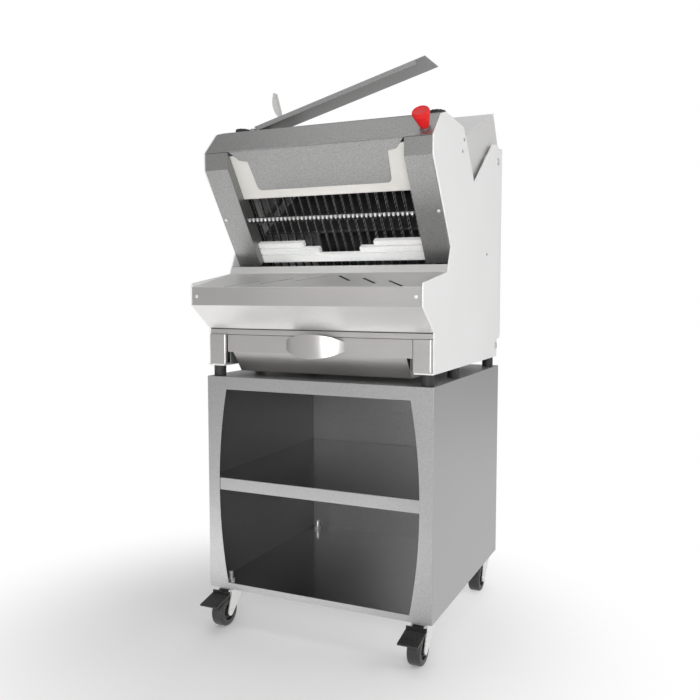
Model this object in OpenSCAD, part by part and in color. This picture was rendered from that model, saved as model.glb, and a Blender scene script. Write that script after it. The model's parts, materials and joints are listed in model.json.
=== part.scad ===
// Bread slicer with two reciprocating blade frames, standing on an open trolley with casters.
// Millimetres, +Z up, the front faces -Y and +X is to the right seen from the front.
// The origin lies on the ground under the middle of the whole machine.

/* [Trolley] */
// Width of the trolley cabinet
cab_w = 600; // [590:1:660]
// Depth of the trolley cabinet
cab_d = 582; // [560:1:640]
// Height of the trolley cabinet without its casters
cab_h = 544; // [480:1:620]
// Sheet thickness of the cabinet
cab_sheet = 2; // [1.5:0.5:3]
// Height of the rail above the cabinet opening
top_rail = 32; // [24:1:44]
// Height of the rail below the cabinet opening
bottom_rail = 16; // [12:1:30]
// Width of the front stiles at their ends
stile_w = 55; // [45:1:70]
// How far the stile edges bow outwards at half height
stile_bow = 23; // [15:1:30]
// Height of the shelf above the cabinet floor
shelf_z = 286; // [220:1:340]
// Height of the folded front edge of the shelf
shelf_lip = 31; // [20:1:40]
// Width of the cover plate inside the cabinet back
cover_plate_w = 62; // [40:1:90]
// Height of the cover plate inside the cabinet back
cover_plate_h = 40; // [30:1:60]
// Distance from the cabinet top down to the cover plate
cover_plate_drop = 120; // [90:1:150]

/* [Casters] */
// Height of a caster from the ground to the cabinet
caster_h = 100; // [96:1:115]
// Diameter of a caster wheel
wheel_d = 75; // [70:1:76]
// Width of a caster wheel
wheel_w = 32; // [28:1:36]
// Distance from the swivel axis forward to the axle
caster_trail = 32; // [28:1:36]
// Distance from the cabinet sides to the swivel axis
caster_inset_x = 36; // [32:1:60]
// Distance from the cabinet front and back to the swivel axis
caster_inset_y = 41; // [36:1:60]
// Diameter of the caster stem
stem_d = 12; // [10:1:14]
// Diameter of the caster axle
axle_d = 8; // [6:1:10]
// Thickness of the caster fork sheet
fork_t = 3; // [2:0.5:4]
// Width of a brake pedal
pedal_w = 50; // [44:1:56]
// Length of a brake pedal
pedal_l = 64; // [58:1:66]
// Slope of a brake pedal at rest
pedal_slope = 12; // [8:1:13]

/* [Slicer body] */
// Width of the slicer over its side panels
body_w = 596; // [592:1:630]
// Thickness of a side panel
panel_t = 4; // [3:0.5:6]
// Distance from the cabinet front to the rear edge of the side panels
body_d = 568; // [556:1:580]
// Height of the rubber feet
foot_h = 27; // [24:1:34]
// Diameter of the rubber feet
foot_d = 30; // [24:1:32]
// Width of the flange folded under each side panel
flange_w = 43; // [36:1:50]
// Height of the base rails
base_h = 75; // [72:1:80]
// Width of the base rails
rail_w = 55; // [50:1:58]
// Wall of the base rails
rail_wall = 3; // [2:0.5:4]
// Sheet thickness of the stainless and grey front parts
sheet = 2; // [1.5:0.5:2.5]
// How far the front lip stands in front of the cabinet
lip_out = 69; // [60:1:80]
// Height of the lower edge of the lip above the trolley
lip_z = 179; // [170:1:186]
// Height of the lip face
lip_h = 44; // [38:1:50]
// Length of the table from front to back
table_l = 170; // [160:1:174]
// Rise of the table from front to back
table_rise = 35; // [30:1:38]
// Height of the upstand behind the table
upstand_h = 18; // [12:1:20]
// Depth of the rear cover
rear_cover_d = 52; // [40:1:60]

/* [Crumb drawer] */
// Depth of the crumb tray behind the drawer front
tray_d = 220; // [180:1:224]
// Sheet thickness of the crumb tray
tray_t = 1.5; // [1:0.5:2]
// Height of the drawer front
drawer_h = 43; // [40:1:46]
// Width of the drawer pull
pull_w = 156; // [130:1:180]
// Height of the drawer pull in the middle
pull_h = 58; // [50:1:64]
// How far the drawer pull bulges forward
pull_out = 28; // [20:1:34]

/* [Blade bay] */
// Lean of the blades and front posts from the vertical
lean = 33.7; // [32:0.1:35]
// Distance from the cabinet front to the foot of the front posts
post_y = 146; // [142:1:152]
// Height of the foot of the front posts above the trolley
post_z = 280; // [276:1:288]
// Length of the leaning part of the front posts
post_l = 275; // [270:1:282]
// Width of a front post
post_w = 65; // [60:1:66]
// Depth of a front post
post_d = 43; // [36:1:43]
// Height of the upright plate at the head of a post
badge_h = 43; // [38:1:48]
// Horizontal run of the sloping fascia
fascia_run = 52; // [46:1:58]
// Rise of the sloping fascia
fascia_rise = 54; // [48:1:58]
// Distance from one blade to the next
blade_pitch = 11.5; // [8:0.5:14]
// Thickness of a blade
blade_t = 1; // [0.6:0.1:1.4]
// Width of a blade
blade_w = 9; // [7:0.5:10]
// Length of one serration of a blade
tooth_l = 12; // [8:1:20]
// Stroke of each blade frame either way
half_stroke = 12; // [8:1:12]
// Diameter of the blade frame guide rods
guide_d = 12; // [10:1:14]

/* [Bread path] */
// Height of the bread bed above the foot of the posts, square to the bed
bed_h = 52; // [44:1:56]
// Distance from the front of the posts to the rear wall of the loading hood
hood_l = 569; // [550:1:575]
// Width of a hood cheek
cheek_w = 48; // [42:1:50]
// Height of the front of the hood cheeks, square to the bed
cheek_h = 194; // [180:1:198]
// Height of the rear of the hood cheeks, square to the bed
cheek_rear_h = 129; // [120:1:150]
// Forward travel of the pusher
pusher_travel = 425; // [380:1:425]
// Diameter of the pusher rails
pusher_rail_d = 14; // [12:1:16]

/* [Drive] */
// Diameter of the crank shaft
shaft_d = 25; // [20:1:28]
// Diameter of the eccentrics on the crank shaft
eccentric_d = 52; // [50:1:56]
// Diameter of the crank pulley
crank_pulley_d = 100; // [90:1:110]
// Diameter of the motor pulley
motor_pulley_d = 50; // [44:1:60]
// Thickness of the drive belt
belt_t = 5; // [4:0.5:6]
// Diameter of the motor
motor_d = 120; // [110:1:130]
// Length of the motor
motor_l = 200; // [160:1:240]

/* [Top] */
// Width of the hinged top flap from front to back
flap_w = 98; // [90:1:104]
// Length of the hinged top flap
flap_l = 484; // [440:1:490]
// Angle at which the flap stands open at rest
flap_open = 15; // [8:1:25]
// Height of the folded front edge of the flap
flap_lip = 10; // [6:1:11]
// Height of the white grip above the flap
grip_h = 70; // [60:1:90]
// Diameter of the rubber bumpers on the top
bumper_d = 40; // [30:1:42]
// Diameter of the emergency stop head
stop_d = 40; // [34:1:44]
// Height of the emergency stop above the fascia
stop_h = 46; // [40:1:52]

/* [Fits] */
// Radial running clearance of turning and sliding fits
fit = 0.05; // [0.02:0.01:0.1]
// Working gap between parts that move past each other
gap = 0.3; // [0.2:0.1:0.5]

/* [Hidden] */
$fn = 48;
eps = 1;

// Places along the depth, measured from the cabinet front towards the back
screw_proud = 1;
rear_cover_y = body_d + rear_cover_d;
cover_lap = 12;
cab_front = -(rear_cover_y - lip_out - screw_proud) / 2;
cab_top = caster_h + cab_h;
half_w = body_w / 2 - panel_t;

// Front base posts and drawer front
base_front = 2;
base_post_d = 6;
drawer_front = 10;
base_z = foot_h + panel_t;
base_top = base_z + base_h;
base_post_w = 47;
base_cap_d = base_post_d + 6;
rail_x = half_w - rail_w;

// Side profile of the slicer, from the trolley top and the cabinet front
lip_y = -lip_out;
lip_top = lip_z + lip_h;
rim_y = lip_y + 2;
rim_z = lip_top + 9;
table_back = lip_y + table_l;
table_back_z = lip_top + table_rise;
upstand_y = table_back + 8;
upstand_z = table_back_z + upstand_h;
undercut_y = base_front + base_post_d;
undercut_z = base_top + 15;
badge_y = lean_y(0, post_l);
badge_z = lean_z(0, post_l);
badge_top = badge_z + badge_h;
fascia_y = badge_y + fascia_run;
fascia_z = badge_top + fascia_rise;
top_y = fascia_y + 33;
top_z = fascia_z + 10;
top_l = 142;
top_fall = 8;
top_back = top_y + top_l;
notch_b = 258;
notch_h = 26 + bed_h;
notch_edge = 71.5;
notch_rear_b = (body_d - notch_edge - post_y + (notch_h + 4) * sin(lean)) / cos(lean);
rear_top = lean_z(notch_rear_b, notch_h) + 10;
fascia_slope = atan2(fascia_rise, fascia_run);
side_profile = [
    [undercut_y, foot_h],
    [body_d, foot_h],
    [body_d, rear_top - 6],
    [body_d - 21, rear_top],
    [lean_y(notch_rear_b, notch_h + 4), lean_z(notch_rear_b, notch_h + 4)],
    [lean_y(notch_b, notch_h), lean_z(notch_b, notch_h)],
    [top_back, top_z - top_fall],
    [top_y, top_z],
    [fascia_y, fascia_z],
    [badge_y, badge_top],
    [badge_y, badge_z],
    [lean_y(5, 40), lean_z(5, 40)],
    [upstand_y, upstand_z],
    [table_back, table_back_z],
    [rim_y, rim_z],
    [lip_y, lip_top],
    [lip_y, lip_z],
    [undercut_y, undercut_z],
];

// Blade bay, in the leaning frame of the posts: b is back along the bed, h is up along the blades
bay_x = half_w - post_w;
blade_side = 4;
blade_n = 2 * floor(((bay_x - blade_side) * 2 / blade_pitch + 1) / 2);
tongue_b = badge_h * sin(lean);
tongue_top = post_l + badge_h * cos(lean);
tongue_low = 203;
tongue_inset = 46;
tongue_t = sheet;
guard_t = 3;
guard_low = 180;
slat_b = 20;
slat_d = 14;
slats = [[-3, 18, 0], [21, 36, 56], [40, 53, 97]];
comb_h = 122;
comb_rise = 11;
frame_t = 12;
frame_gap = 4;
frame_b = post_d + 3;
frame_low = -50;
frame_high = 254;
beam_h = 22;
frame_x = bay_x + 23;
guide_x = frame_x + 20;
guide_low = -118;
guide_high = 304;
bracket_h = 14;
lug_w = 30;

// Crank, in the same leaning frame
crank_b = frame_b + frame_t + frame_gap / 2;
crank_h = -190;
crank_y = lean_y(crank_b, crank_h);
crank_z = lean_z(crank_b, crank_h);
rail_room = 49;
pulley_x = rail_x - rail_room;
rod_x = 40;
rod_w = 16;
rod_ring = 10;
rod_eye_h = frame_low - beam_h - 2 * half_stroke - 24;
bearing_x = (rod_x + pulley_x) / 2;
bearing_w = 30;
bearing_wall = 14;
bearing_foot = 8;
bearing_toe = 20;
pulley_w = 20;
motor_edge = 98;
belt_room = 16;
motor_y = max(body_d - motor_edge, crank_y + (crank_pulley_d + motor_pulley_d) / 2 + belt_room);
plate_t = 4;
plate_y = 285;
motor_z = base_z + plate_t + motor_d / 2 + 15;

// Bread path
cheek_out = half_w - 9;
cheek_in = cheek_out - cheek_w;
cheek_front = frame_b + 2 * frame_t + frame_gap + 16;
cheek_knee = 281;
cheek_low = bed_h - 12;
bed_t = 6;
slot_h = bed_h + 28;
pusher_rail_x = (cheek_in + cheek_out) / 2;
bush_l = 40;
pusher_t = 6;
pusher_b = hood_l - 4 - bush_l / 2 - 5;
finger_l = 70;
finger_w = 4;
finger_top = bed_h + 66;
pusher_h = 70;

// Top flap, hinged at its left end
hinge_edge = 62;
hinge_x = hinge_edge - half_w;
knuckle_d = 12;
pin_d = 6;
hinge_z = top_z + 8;
flap_y = top_y + 37;
bumper_edge = 31;
bumper_x = half_w - bumper_edge;
access_edge = 104;
access_x = half_w - access_edge;
bumper_y = flap_y + 5;
bumper_top = hinge_z + knuckle_d / 2 - gap;

// Geometry helpers

// Place along the depth and height of a point of the leaning frame
function lean_y(b, h) = post_y + b * cos(lean) - h * sin(lean);
function lean_z(b, h) = post_z + b * sin(lean) + h * cos(lean);

// Unit vector, left normal and mitred parallel path of an open outline
function unit(v) = v / norm(v);
function left(v) = [-v[1], v[0]];
function bend(a, b) = (a + b) / (1 + a * b);
function normal_at(p, i) =
    i == 0 ? left(unit(p[1] - p[0])) :
    i == len(p) - 1 ? left(unit(p[i] - p[i - 1])) :
    bend(left(unit(p[i] - p[i - 1])), left(unit(p[i + 1] - p[i])));
function beside(p, t) = [for (i = [0 : len(p) - 1]) p[i] + t * normal_at(p, i)];

// Outline of a sheet of thickness t that follows an open path, with the sheet on its left
function folded(p, t) = let (q = beside(p, t)) concat(p, [for (i = [len(p) - 1 : -1 : 0]) q[i]]);

// Stand the machine on the trolley
module on_trolley() {
    translate([0, cab_front, cab_top]) children();
}

// Work in the leaning frame of the posts
module leaning() {
    on_trolley() translate([0, post_y, post_z]) rotate([lean, 0, 0]) children();
}

// Extrude an outline of depth and height across the width, centred
module across(w) {
    rotate([90, 0, 90]) linear_extrude(w, center = true) children();
}

// Extrude an outline of width and height along the depth, from front to back
module along(y0, y1) {
    translate([0, y1, 0]) rotate([90, 0, 0]) linear_extrude(y1 - y0) children();
}

// Block from two opposite corners
module block(a, b) {
    translate(a) cube(b - a);
}

// Cylinder along the width, centred on x
module roller(x, d, w) {
    translate([x, 0, 0]) rotate([0, 90, 0]) cylinder(d = d, h = w, center = true);
}

// Left and right copies
module both_sides() {
    children();
    mirror([1, 0, 0]) children();
}

// Trolley

module in_cabinet() {
    translate([0, cab_front, caster_h]) children();
}

// Front opening with straight rails and bowed sides
module cabinet_opening() {
    mid = (bottom_rail + cab_h - top_rail) / 2;
    half_h = (cab_h - top_rail - bottom_rail) / 2;
    half_mid = cab_w / 2 - stile_w + stile_bow;
    bow_r = (half_h * half_h + stile_bow * stile_bow) / (2 * stile_bow);
    intersection() {
        translate([-half_mid, bottom_rail]) square([2 * half_mid, 2 * half_h]);
        translate([bow_r - half_mid, mid]) circle(r = bow_r, $fn = 360);
        translate([half_mid - bow_r, mid]) circle(r = bow_r, $fn = 360);
    }
}

module cabinet_front_frame() {
    color("Silver") in_cabinet() along(0, cab_sheet) difference() {
        translate([-cab_w / 2, 0]) square([cab_w, cab_h]);
        cabinet_opening();
    }
}

module cabinet_side() {
    in_cabinet() block([cab_w / 2 - cab_sheet, cab_sheet, 0], [cab_w / 2, cab_d, cab_h]);
}

module cabinet_left_side() {
    color("DarkGray") mirror([1, 0, 0]) cabinet_side();
}

module cabinet_right_side() {
    color("DarkGray") cabinet_side();
}

module cabinet_plate(z) {
    x = cab_w / 2 - cab_sheet;
    block([-x, cab_sheet, z], [x, cab_d - cab_sheet, z + cab_sheet]);
}

module cabinet_top() {
    color("Silver") in_cabinet() cabinet_plate(cab_h - cab_sheet);
}

// Swivel axes of the four casters, seen from the cabinet front
stem_x = cab_w / 2 - caster_inset_x;
stem_front = caster_inset_y;
stem_rear = cab_d - caster_inset_y;

module at_stems() {
    for (x = [-stem_x, stem_x], y = [stem_front, stem_rear]) translate([x, y, 0]) children();
}

module cabinet_floor() {
    color("DimGray") in_cabinet() difference() {
        cabinet_plate(0);
        at_stems() cylinder(d = stem_d, h = 3 * cab_sheet, center = true);
    }
}

// Back sheet with a thin cover plate on its inner side
module cabinet_back() {
    x = cab_w / 2 - cab_sheet;
    y = cab_d - cab_sheet;
    plate_top = cab_h - cover_plate_drop;
    color("DimGray") in_cabinet() {
        block([-x, y, 0], [x, cab_d, cab_h]);
        block([-cover_plate_w / 2, y - cab_sheet / 2, plate_top - cover_plate_h],
            [cover_plate_w / 2, y, plate_top]);
    }
}

// Shelf with a folded front edge
module cabinet_shelf() {
    back = cab_d - 2 * cab_sheet;
    path = [
        [cab_sheet + 14, shelf_z - shelf_lip],
        [cab_sheet, shelf_z - shelf_lip],
        [cab_sheet, shelf_z],
        [back, shelf_z],
    ];
    color("Silver") in_cabinet() across(cab_w - 2 * cab_sheet) polygon(folded(path, -cab_sheet));
}

// Casters

plate_h = 3;
stem_rise = 30;
crown_h = 8;
race_h = 5;
head_h = 4;
crown_top = caster_h - plate_h - gap;
crown_low = crown_top - race_h - crown_h;
leg_in = wheel_w / 2 + 2;
leg_out = leg_in + fork_t;

module at_stem(x, y) {
    translate([x, cab_front + y, 0]) children();
}

// Fixed swivel plates with their stems, nuts on the cabinet floor and heads under the forks
module caster_stems() {
    nut_d = 1.8 * stem_d;
    color("Gainsboro") translate([0, cab_front, 0]) at_stems() {
        translate([-30, -30, caster_h - plate_h]) cube([60, 60, plate_h]);
        translate([0, 0, crown_low - gap - head_h])
            cylinder(d = stem_d, h = caster_h + stem_rise - crown_low + gap + head_h);
        translate([0, 0, crown_low - gap - head_h]) cylinder(d = stem_d + 8, h = head_h);
        translate([0, 0, caster_h + cab_sheet]) cylinder(d = nut_d, h = 8, $fn = 6);
    }
}

// Hinge of a brake pedal in front of the fork crown, measured from the swivel axis
pedal_y = -31;
pedal_z = crown_low + crown_h / 2;
pedal_pin = 5;
pedal_knuckle = 9;
pedal_half = 13.5;
lug_t = 3;

// Two ears and a pin in front of the crown
module pedal_hinge() {
    for (s = [-1, 1]) translate([s * (pedal_half + gap + lug_t / 2), 0, 0]) across(lug_t) union() {
        translate([pedal_y, pedal_z]) circle(d = pedal_knuckle);
        translate([pedal_y, crown_low]) square([-25 - pedal_y, crown_h]);
    }
    translate([0, pedal_y, pedal_z]) roller(0, pedal_pin, 2 * (pedal_half + gap + lug_t));
}

// Fork with bearing race, two forward-swept legs, the riveted axle and, in front, the pedal hinge
module caster_fork(x, y, braked) {
    axle_z = wheel_d / 2;
    eye = axle_d / 2 + 7;
    leg = [
        [-26, crown_low + crown_h],
        [24, crown_low + crown_h],
        [24, crown_low - 6],
        [eye * 0.8 - caster_trail, axle_z - eye * 0.6],
        [-eye * 0.9 - caster_trail, axle_z + eye * 0.43],
    ];
    color("Gainsboro") at_stem(x, y) difference() {
        union() {
            block([-leg_out, -26, crown_low], [leg_out, 24, crown_low + crown_h]);
            translate([0, 0, crown_low + crown_h]) cylinder(d = 44, h = race_h);
            for (s = [-1, 1]) translate([s * (leg_in + leg_out) / 2, 0, 0]) across(fork_t) union() {
                polygon(leg);
                translate([-caster_trail, axle_z]) circle(r = eye);
            }
            translate([0, -caster_trail, axle_z]) roller(0, axle_d, 2 * leg_out + 4);
            if (braked) pedal_hinge();
        }
        cylinder(d = stem_d + 2 * fit, h = 2 * caster_h);
    }
}

// Wheel turned from one outline: tread with round shoulders, dished sides and hub
module caster_wheel(x, y) {
    r = wheel_d / 2;
    half = wheel_w / 2;
    bore = axle_d / 2 + fit;
    shoulder = 6;
    color([0.1, 0.1, 0.1]) at_stem(x, y) translate([0, -caster_trail, r]) rotate([0, 90, 0])
        rotate_extrude($fn = 72) difference() {
            union() {
                translate([bore, 1 - leg_in]) square([9, 2 * leg_in - 2]);
                translate([bore, 6 - half]) square([r - bore - shoulder, 2 * half - 12]);
                translate([r - 15, -half]) square([15 - shoulder, 2 * half]);
                translate([r - shoulder - eps, shoulder - half])
                    square([shoulder + eps, 2 * (half - shoulder)]);
                for (s = [-1, 1]) translate([r - shoulder, s * (half - shoulder)]) circle(r = shoulder);
            }
            translate([0, -2 * half]) square([bore, 4 * half]);
        }
}

// Ribbed foot pedal above the wheel, with a lifting heel and a brake shoe
module brake_pedal(x, y) {
    t = 4;
    rib_n = 8;
    rear = -10;
    front = rear - pedal_l;
    half = pedal_w / 2;
    color([0.1, 0.1, 0.1]) at_stem(x, y) translate([0, pedal_y, pedal_z])
    rotate([pedal_slope, 0, 0]) difference() {
        union() {
            roller(0, pedal_knuckle, 2 * pedal_half);
            block([-pedal_half, rear, -t / 2], [pedal_half, 0, t / 2]);
            block([-half, front, -t / 2], [half, rear, t / 2]);
            block([-half, rear - 5, t / 2], [half, rear, t / 2 + 5]);
            block([-12, rear - 12, -t / 2 - 6], [12, rear, -t / 2]);
            for (i = [0 : rib_n - 1]) translate([0, front + 3 + i * (pedal_l - 10) / rib_n, t / 2])
                block([4 - half, 0, 0], [half - 4, 3, 1]);
        }
        roller(0, pedal_pin + 2 * fit, pedal_w);
    }
}

module caster_fork_fl() { caster_fork(-stem_x, stem_front, true); }
module caster_fork_fr() { caster_fork(stem_x, stem_front, true); }
module caster_fork_rl() { caster_fork(-stem_x, stem_rear, false); }
module caster_fork_rr() { caster_fork(stem_x, stem_rear, false); }
module caster_wheel_fl() { caster_wheel(-stem_x, stem_front); }
module caster_wheel_fr() { caster_wheel(stem_x, stem_front); }
module caster_wheel_rl() { caster_wheel(-stem_x, stem_rear); }
module caster_wheel_rr() { caster_wheel(stem_x, stem_rear); }
module brake_pedal_fl() { brake_pedal(-stem_x, stem_front); }
module brake_pedal_fr() { brake_pedal(stem_x, stem_front); }

// Base of the slicer

foot_front = 24;
foot_mid = 218;
foot_rear = 22;
foot_edge = 16.5;

module rubber_feet() {
    color([0.08, 0.08, 0.08]) on_trolley() both_sides()
        for (y = [foot_front, foot_mid, body_d - foot_rear])
            translate([half_w - foot_edge, y, 0]) cylinder(d = foot_d, h = foot_h);
}

ledge_w = 6;

// Two channel rails with drawer ledges, joined by the drive plate
module base_frame() {
    y0 = base_front + base_cap_d;
    y1 = body_d - cover_lap;
    ledge_z = base_top - 10;
    color("Gray") on_trolley() {
        both_sides() {
            difference() {
                block([rail_x, y0, base_z], [half_w, y1, base_top]);
                block([rail_x + rail_wall, y0 - eps, base_z + rail_wall],
                    [half_w + eps, y1 + eps, base_top - rail_wall]);
            }
            block([rail_x - ledge_w, y0, ledge_z], [rail_x, tray_back, ledge_z + 3]);
        }
        block([-rail_x, plate_y, base_z], [rail_x, y1, base_z + plate_t]);
    }
}

// Stainless caps with rounded upright edges in front of the base rails
module base_front_posts() {
    r = base_post_d - 1;
    x = half_w - base_post_w;
    color("Silver") on_trolley() both_sides() translate([0, 0, base_z])
    linear_extrude(base_h) intersection() {
        translate([x, base_front]) square([base_post_w, base_cap_d]);
        union() {
            translate([x + r, base_front + r]) circle(r = r);
            translate([half_w - r, base_front + r]) circle(r = r);
            translate([x + r, base_front]) square([base_post_w - 2 * r, base_cap_d]);
            translate([x, base_front + r]) square([base_post_w, base_cap_d]);
        }
    }
}

// Side panels and rear cover

// Flat panel with a flange folded under the base rail
module side_panel() {
    on_trolley() {
        translate([half_w + panel_t / 2, 0, 0]) across(panel_t) polygon(side_profile);
        block([half_w - flange_w, base_front, foot_h], [half_w + panel_t, body_d, base_z]);
    }
}

module left_side_panel() {
    color("WhiteSmoke") mirror([1, 0, 0]) side_panel();
}

module right_side_panel() {
    color("WhiteSmoke") side_panel();
}

// Height of the lower edge of the hood above a place along the depth
function under_hood(y) = post_z + cheek_low * cos(lean) + (y - post_y + cheek_low * sin(lean)) * tan(lean);
cover_gap = 3.5;

// Shallow box behind the body, lapped between the side panels, with a top that follows the hood
module rear_cover() {
    low = base_z + 45;
    front = body_d - cover_lap;
    top_front = under_hood(front) - cover_gap;
    wall = 3;
    outline = [[front, low], [rear_cover_y - 10, low], [rear_cover_y, low + 10],
        [rear_cover_y, top_front + 19], [rear_cover_y - 6, top_front + 21], [front, top_front]];
    hollow = [[front - eps, low + wall], [rear_cover_y - 10 - wall / 2, low + wall],
        [rear_cover_y - wall, low + 10 + wall], [rear_cover_y - wall, top_front + 16],
        [front - eps, top_front - wall]];
    color("White") on_trolley() difference() {
        across(2 * half_w) polygon(outline);
        across(2 * (half_w - wall)) polygon(hollow);
    }
}

// Slicing table, lip and undercut folded from one sheet

table_slope = atan2(table_rise, table_l);

// Slot for crumbs, from its end near the middle outwards and forwards
slot_l = 88;
slot_w = 7;
slot_turn = 49;
slot_mid = 22;
slot_in = 15;
slot_edge = 45;
slot_back = 32;
slot_pitch = (half_w - slot_mid - slot_in - slot_edge - slot_l * cos(slot_turn)) / 2;
slot_step = 33;

module crumb_slot(x, y) {
    translate([x, y, 0]) rotate([0, 0, -slot_turn]) {
        translate([slot_w / 2, 0, 0]) cylinder(d = slot_w, h = 20, center = true);
        translate([slot_l - slot_w / 2, 0, 0]) cylinder(d = slot_w, h = 20, center = true);
        translate([slot_w / 2, -slot_w / 2, -10]) cube([slot_l - slot_w, slot_w, 20]);
    }
}

module slicing_table() {
    path = [
        [upstand_y, upstand_z],
        [table_back, table_back_z],
        [lip_y, lip_top],
        [lip_y, lip_z],
        [undercut_y, undercut_z],
        [undercut_y, base_top],
    ];
    color("LightGray") on_trolley() difference() {
        across(2 * half_w) polygon(folded(path, sheet));
        translate([slot_mid, lip_y, lip_top]) rotate([table_slope, 0, 0]) both_sides() for (k = [0 : 2])
            crumb_slot(slot_in + slot_pitch * k, table_l - slot_back - slot_step * k);
    }
}

// Crumb drawer

tray_front = drawer_front + sheet;
tray_back = drawer_front + tray_d + 24;
tray_z = 12;
tray_slant = 38;
tray_top = base_top - 10 + 3 + gap;
drawer_top = base_top - 1;
drawer_low = drawer_top - drawer_h;
tray_x = rail_x - ledge_w - 2;

// Tray with a slanting front and top flanges that ride on the base ledges, and its front plate
module crumb_drawer() {
    flange = rail_x - 2;
    front_x = half_w - base_post_w - 2;
    floor_path = [
        [tray_back, tray_top],
        [tray_back, tray_z],
        [tray_front + tray_slant, tray_z],
        [tray_front, drawer_low],
        [tray_front, tray_top],
    ];
    color("LightGray") on_trolley() {
        across(2 * tray_x) polygon(folded(floor_path, -tray_t));
        both_sides() {
            translate([tray_x - tray_t / 2, 0, 0]) across(tray_t) polygon(floor_path);
            block([tray_x - tray_t, tray_front, tray_top], [flange, tray_back, tray_top + tray_t]);
        }
        block([-front_x, drawer_front, drawer_low], [front_x, tray_front, drawer_top]);
    }
}

// Bulged pull: a bent plate with arched upper and lower edges, fixed to the drawer front at its ends
module drawer_pull() {
    half = pull_w / 2;
    bulge_r = (half * half + pull_out * pull_out) / (2 * pull_out);
    end_h = 12;
    arch = pull_h / 2 - end_h;
    arch_r = (half * half + arch * arch) / (2 * arch);
    mid_z = (drawer_low + drawer_top) / 2;
    color("Silver") on_trolley() intersection() {
        along(drawer_front - pull_out - eps, drawer_front) intersection() {
            translate([0, mid_z + arch_r - pull_h / 2]) circle(r = arch_r, $fn = 180);
            translate([0, mid_z - arch_r + pull_h / 2]) circle(r = arch_r, $fn = 180);
            translate([-half, mid_z - pull_h]) square([pull_w, 2 * pull_h]);
        }
        translate([0, drawer_front - pull_out + bulge_r, mid_z - pull_h]) difference() {
            cylinder(r = bulge_r, h = 2 * pull_h, $fn = 180);
            translate([0, 0, -eps]) cylinder(r = bulge_r - sheet, h = 2 * pull_h + 2 * eps, $fn = 180);
        }
    }
}

// Front of the blade bay

// Hollow posts with an upright head plate, open to the back
module front_posts() {
    outline = [
        [lean_y(0, 0), lean_z(0, 0)],
        [badge_y, badge_z],
        [badge_y, badge_top - sheet],
        [lean_y(post_d, tongue_top - 12), lean_z(post_d, tongue_top - 12)],
        [lean_y(post_d, 0), lean_z(post_d, 0)],
    ];
    wall = 3;
    color("DarkGray") on_trolley() both_sides() translate([half_w - post_w / 2, 0, 0]) difference() {
        across(post_w) polygon(outline);
        translate([0, wall * cos(lean), wall * sin(lean)]) across(post_w - 2 * wall) polygon(outline);
    }
}

module front_fascia() {
    path = [[top_y, top_z], [fascia_y, fascia_z], [badge_y, badge_top]];
    color("Gray") on_trolley() difference() {
        across(2 * half_w) polygon(folded(path, sheet));
        at_stop_local() cylinder(d = stop_stem + 2 * fit, h = 20, center = true);
    }
}

// Tongue below the fascia: sloping shoulders, nearly upright sides and round lower corners
module tongue_panel() {
    corner = 12;
    side = bay_x - tongue_inset;
    taper = 5;
    low_side = side - taper - corner;
    top = tongue_top - sheet - gap / 2;
    shoulder = top - 24;
    color("Gray") leaning() translate([0, tongue_b + tongue_t, 0]) rotate([90, 0, 0])
        linear_extrude(tongue_t) union() {
            polygon([
                [-bay_x + 2, top], [-bay_x + 24, shoulder], [-side, shoulder - 4],
                [-side + taper, tongue_low + corner], [side - taper, tongue_low + corner],
                [side, shoulder - 4], [bay_x - 24, shoulder], [bay_x - 2, top],
            ]);
            translate([-low_side, tongue_low]) square([2 * low_side, corner + eps]);
            for (s = [-1, 1]) translate([s * low_side, tongue_low + corner]) circle(r = corner);
        }
}

module guard_panel() {
    b0 = tongue_b + tongue_t;
    color("Linen") leaning() block([-bay_x, b0, guard_low], [bay_x, b0 + guard_t, tongue_top - 14]);
}

// Stepped white slats that leave a hand notch in the middle of the outlet
module outlet_slats() {
    color("White") leaning() for (s = slats)
        if (s[2] == 0)
            block([-bay_x, slat_b, s[0]], [bay_x, slat_b + slat_d, s[1]]);
        else
            both_sides() block([s[2], slat_b, s[0]], [bay_x, slat_b + slat_d, s[1]]);
}

// Comb across the outlet with one hooked tooth in front of each gap between two blades
module blade_guide_comb() {
    tooth = [[9, comb_h + comb_rise + 2], [5, comb_h + comb_rise + 3], [2, comb_h + comb_rise - 3],
        [4, comb_h], [6, comb_h], [9, comb_h + comb_rise - 5]];
    color("LightGray") leaning() {
        block([-bay_x, 9, comb_h + comb_rise - 5], [bay_x, 14, comb_h + comb_rise + 2]);
        for (i = [1 : blade_n - 1]) translate([blade_x(i - 0.5), 0, 0]) across(5) polygon(tooth);
    }
}

// Blade frames

function blade_x(i) = blade_pitch * (i - (blade_n - 1) / 2);

// Rectangular frame with four guide lugs; b is its distance back from the post face
module blade_frame(b) {
    lug_b = guide_d / 2 + 2;
    mid = b + frame_t / 2;
    low = frame_low - beam_h;
    high = frame_high + beam_h - 2;
    color("SlateGray") leaning() difference() {
        union() {
            block([-frame_x, b, low], [frame_x, b + frame_t, frame_low]);
            block([-frame_x, b, frame_high], [frame_x, b + frame_t, high]);
            both_sides() {
                block([frame_x - 12, b, frame_low], [frame_x, b + frame_t, frame_high]);
                for (z = [low, high - lug_w])
                    block([frame_x, mid - lug_b + 0.5, z],
                        [guide_x + guide_d / 2 + 6, mid + lug_b - 0.5, z + lug_w]);
            }
        }
        both_sides() translate([guide_x, mid, low - eps])
            cylinder(d = guide_d + 2 * fit, h = high - low + 2 * eps);
    }
}

frame_a = frame_b;
frame_back = frame_b + frame_t + frame_gap;

module blade_frame_a() { blade_frame(frame_a); }
module blade_frame_b() { blade_frame(frame_back); }

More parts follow.
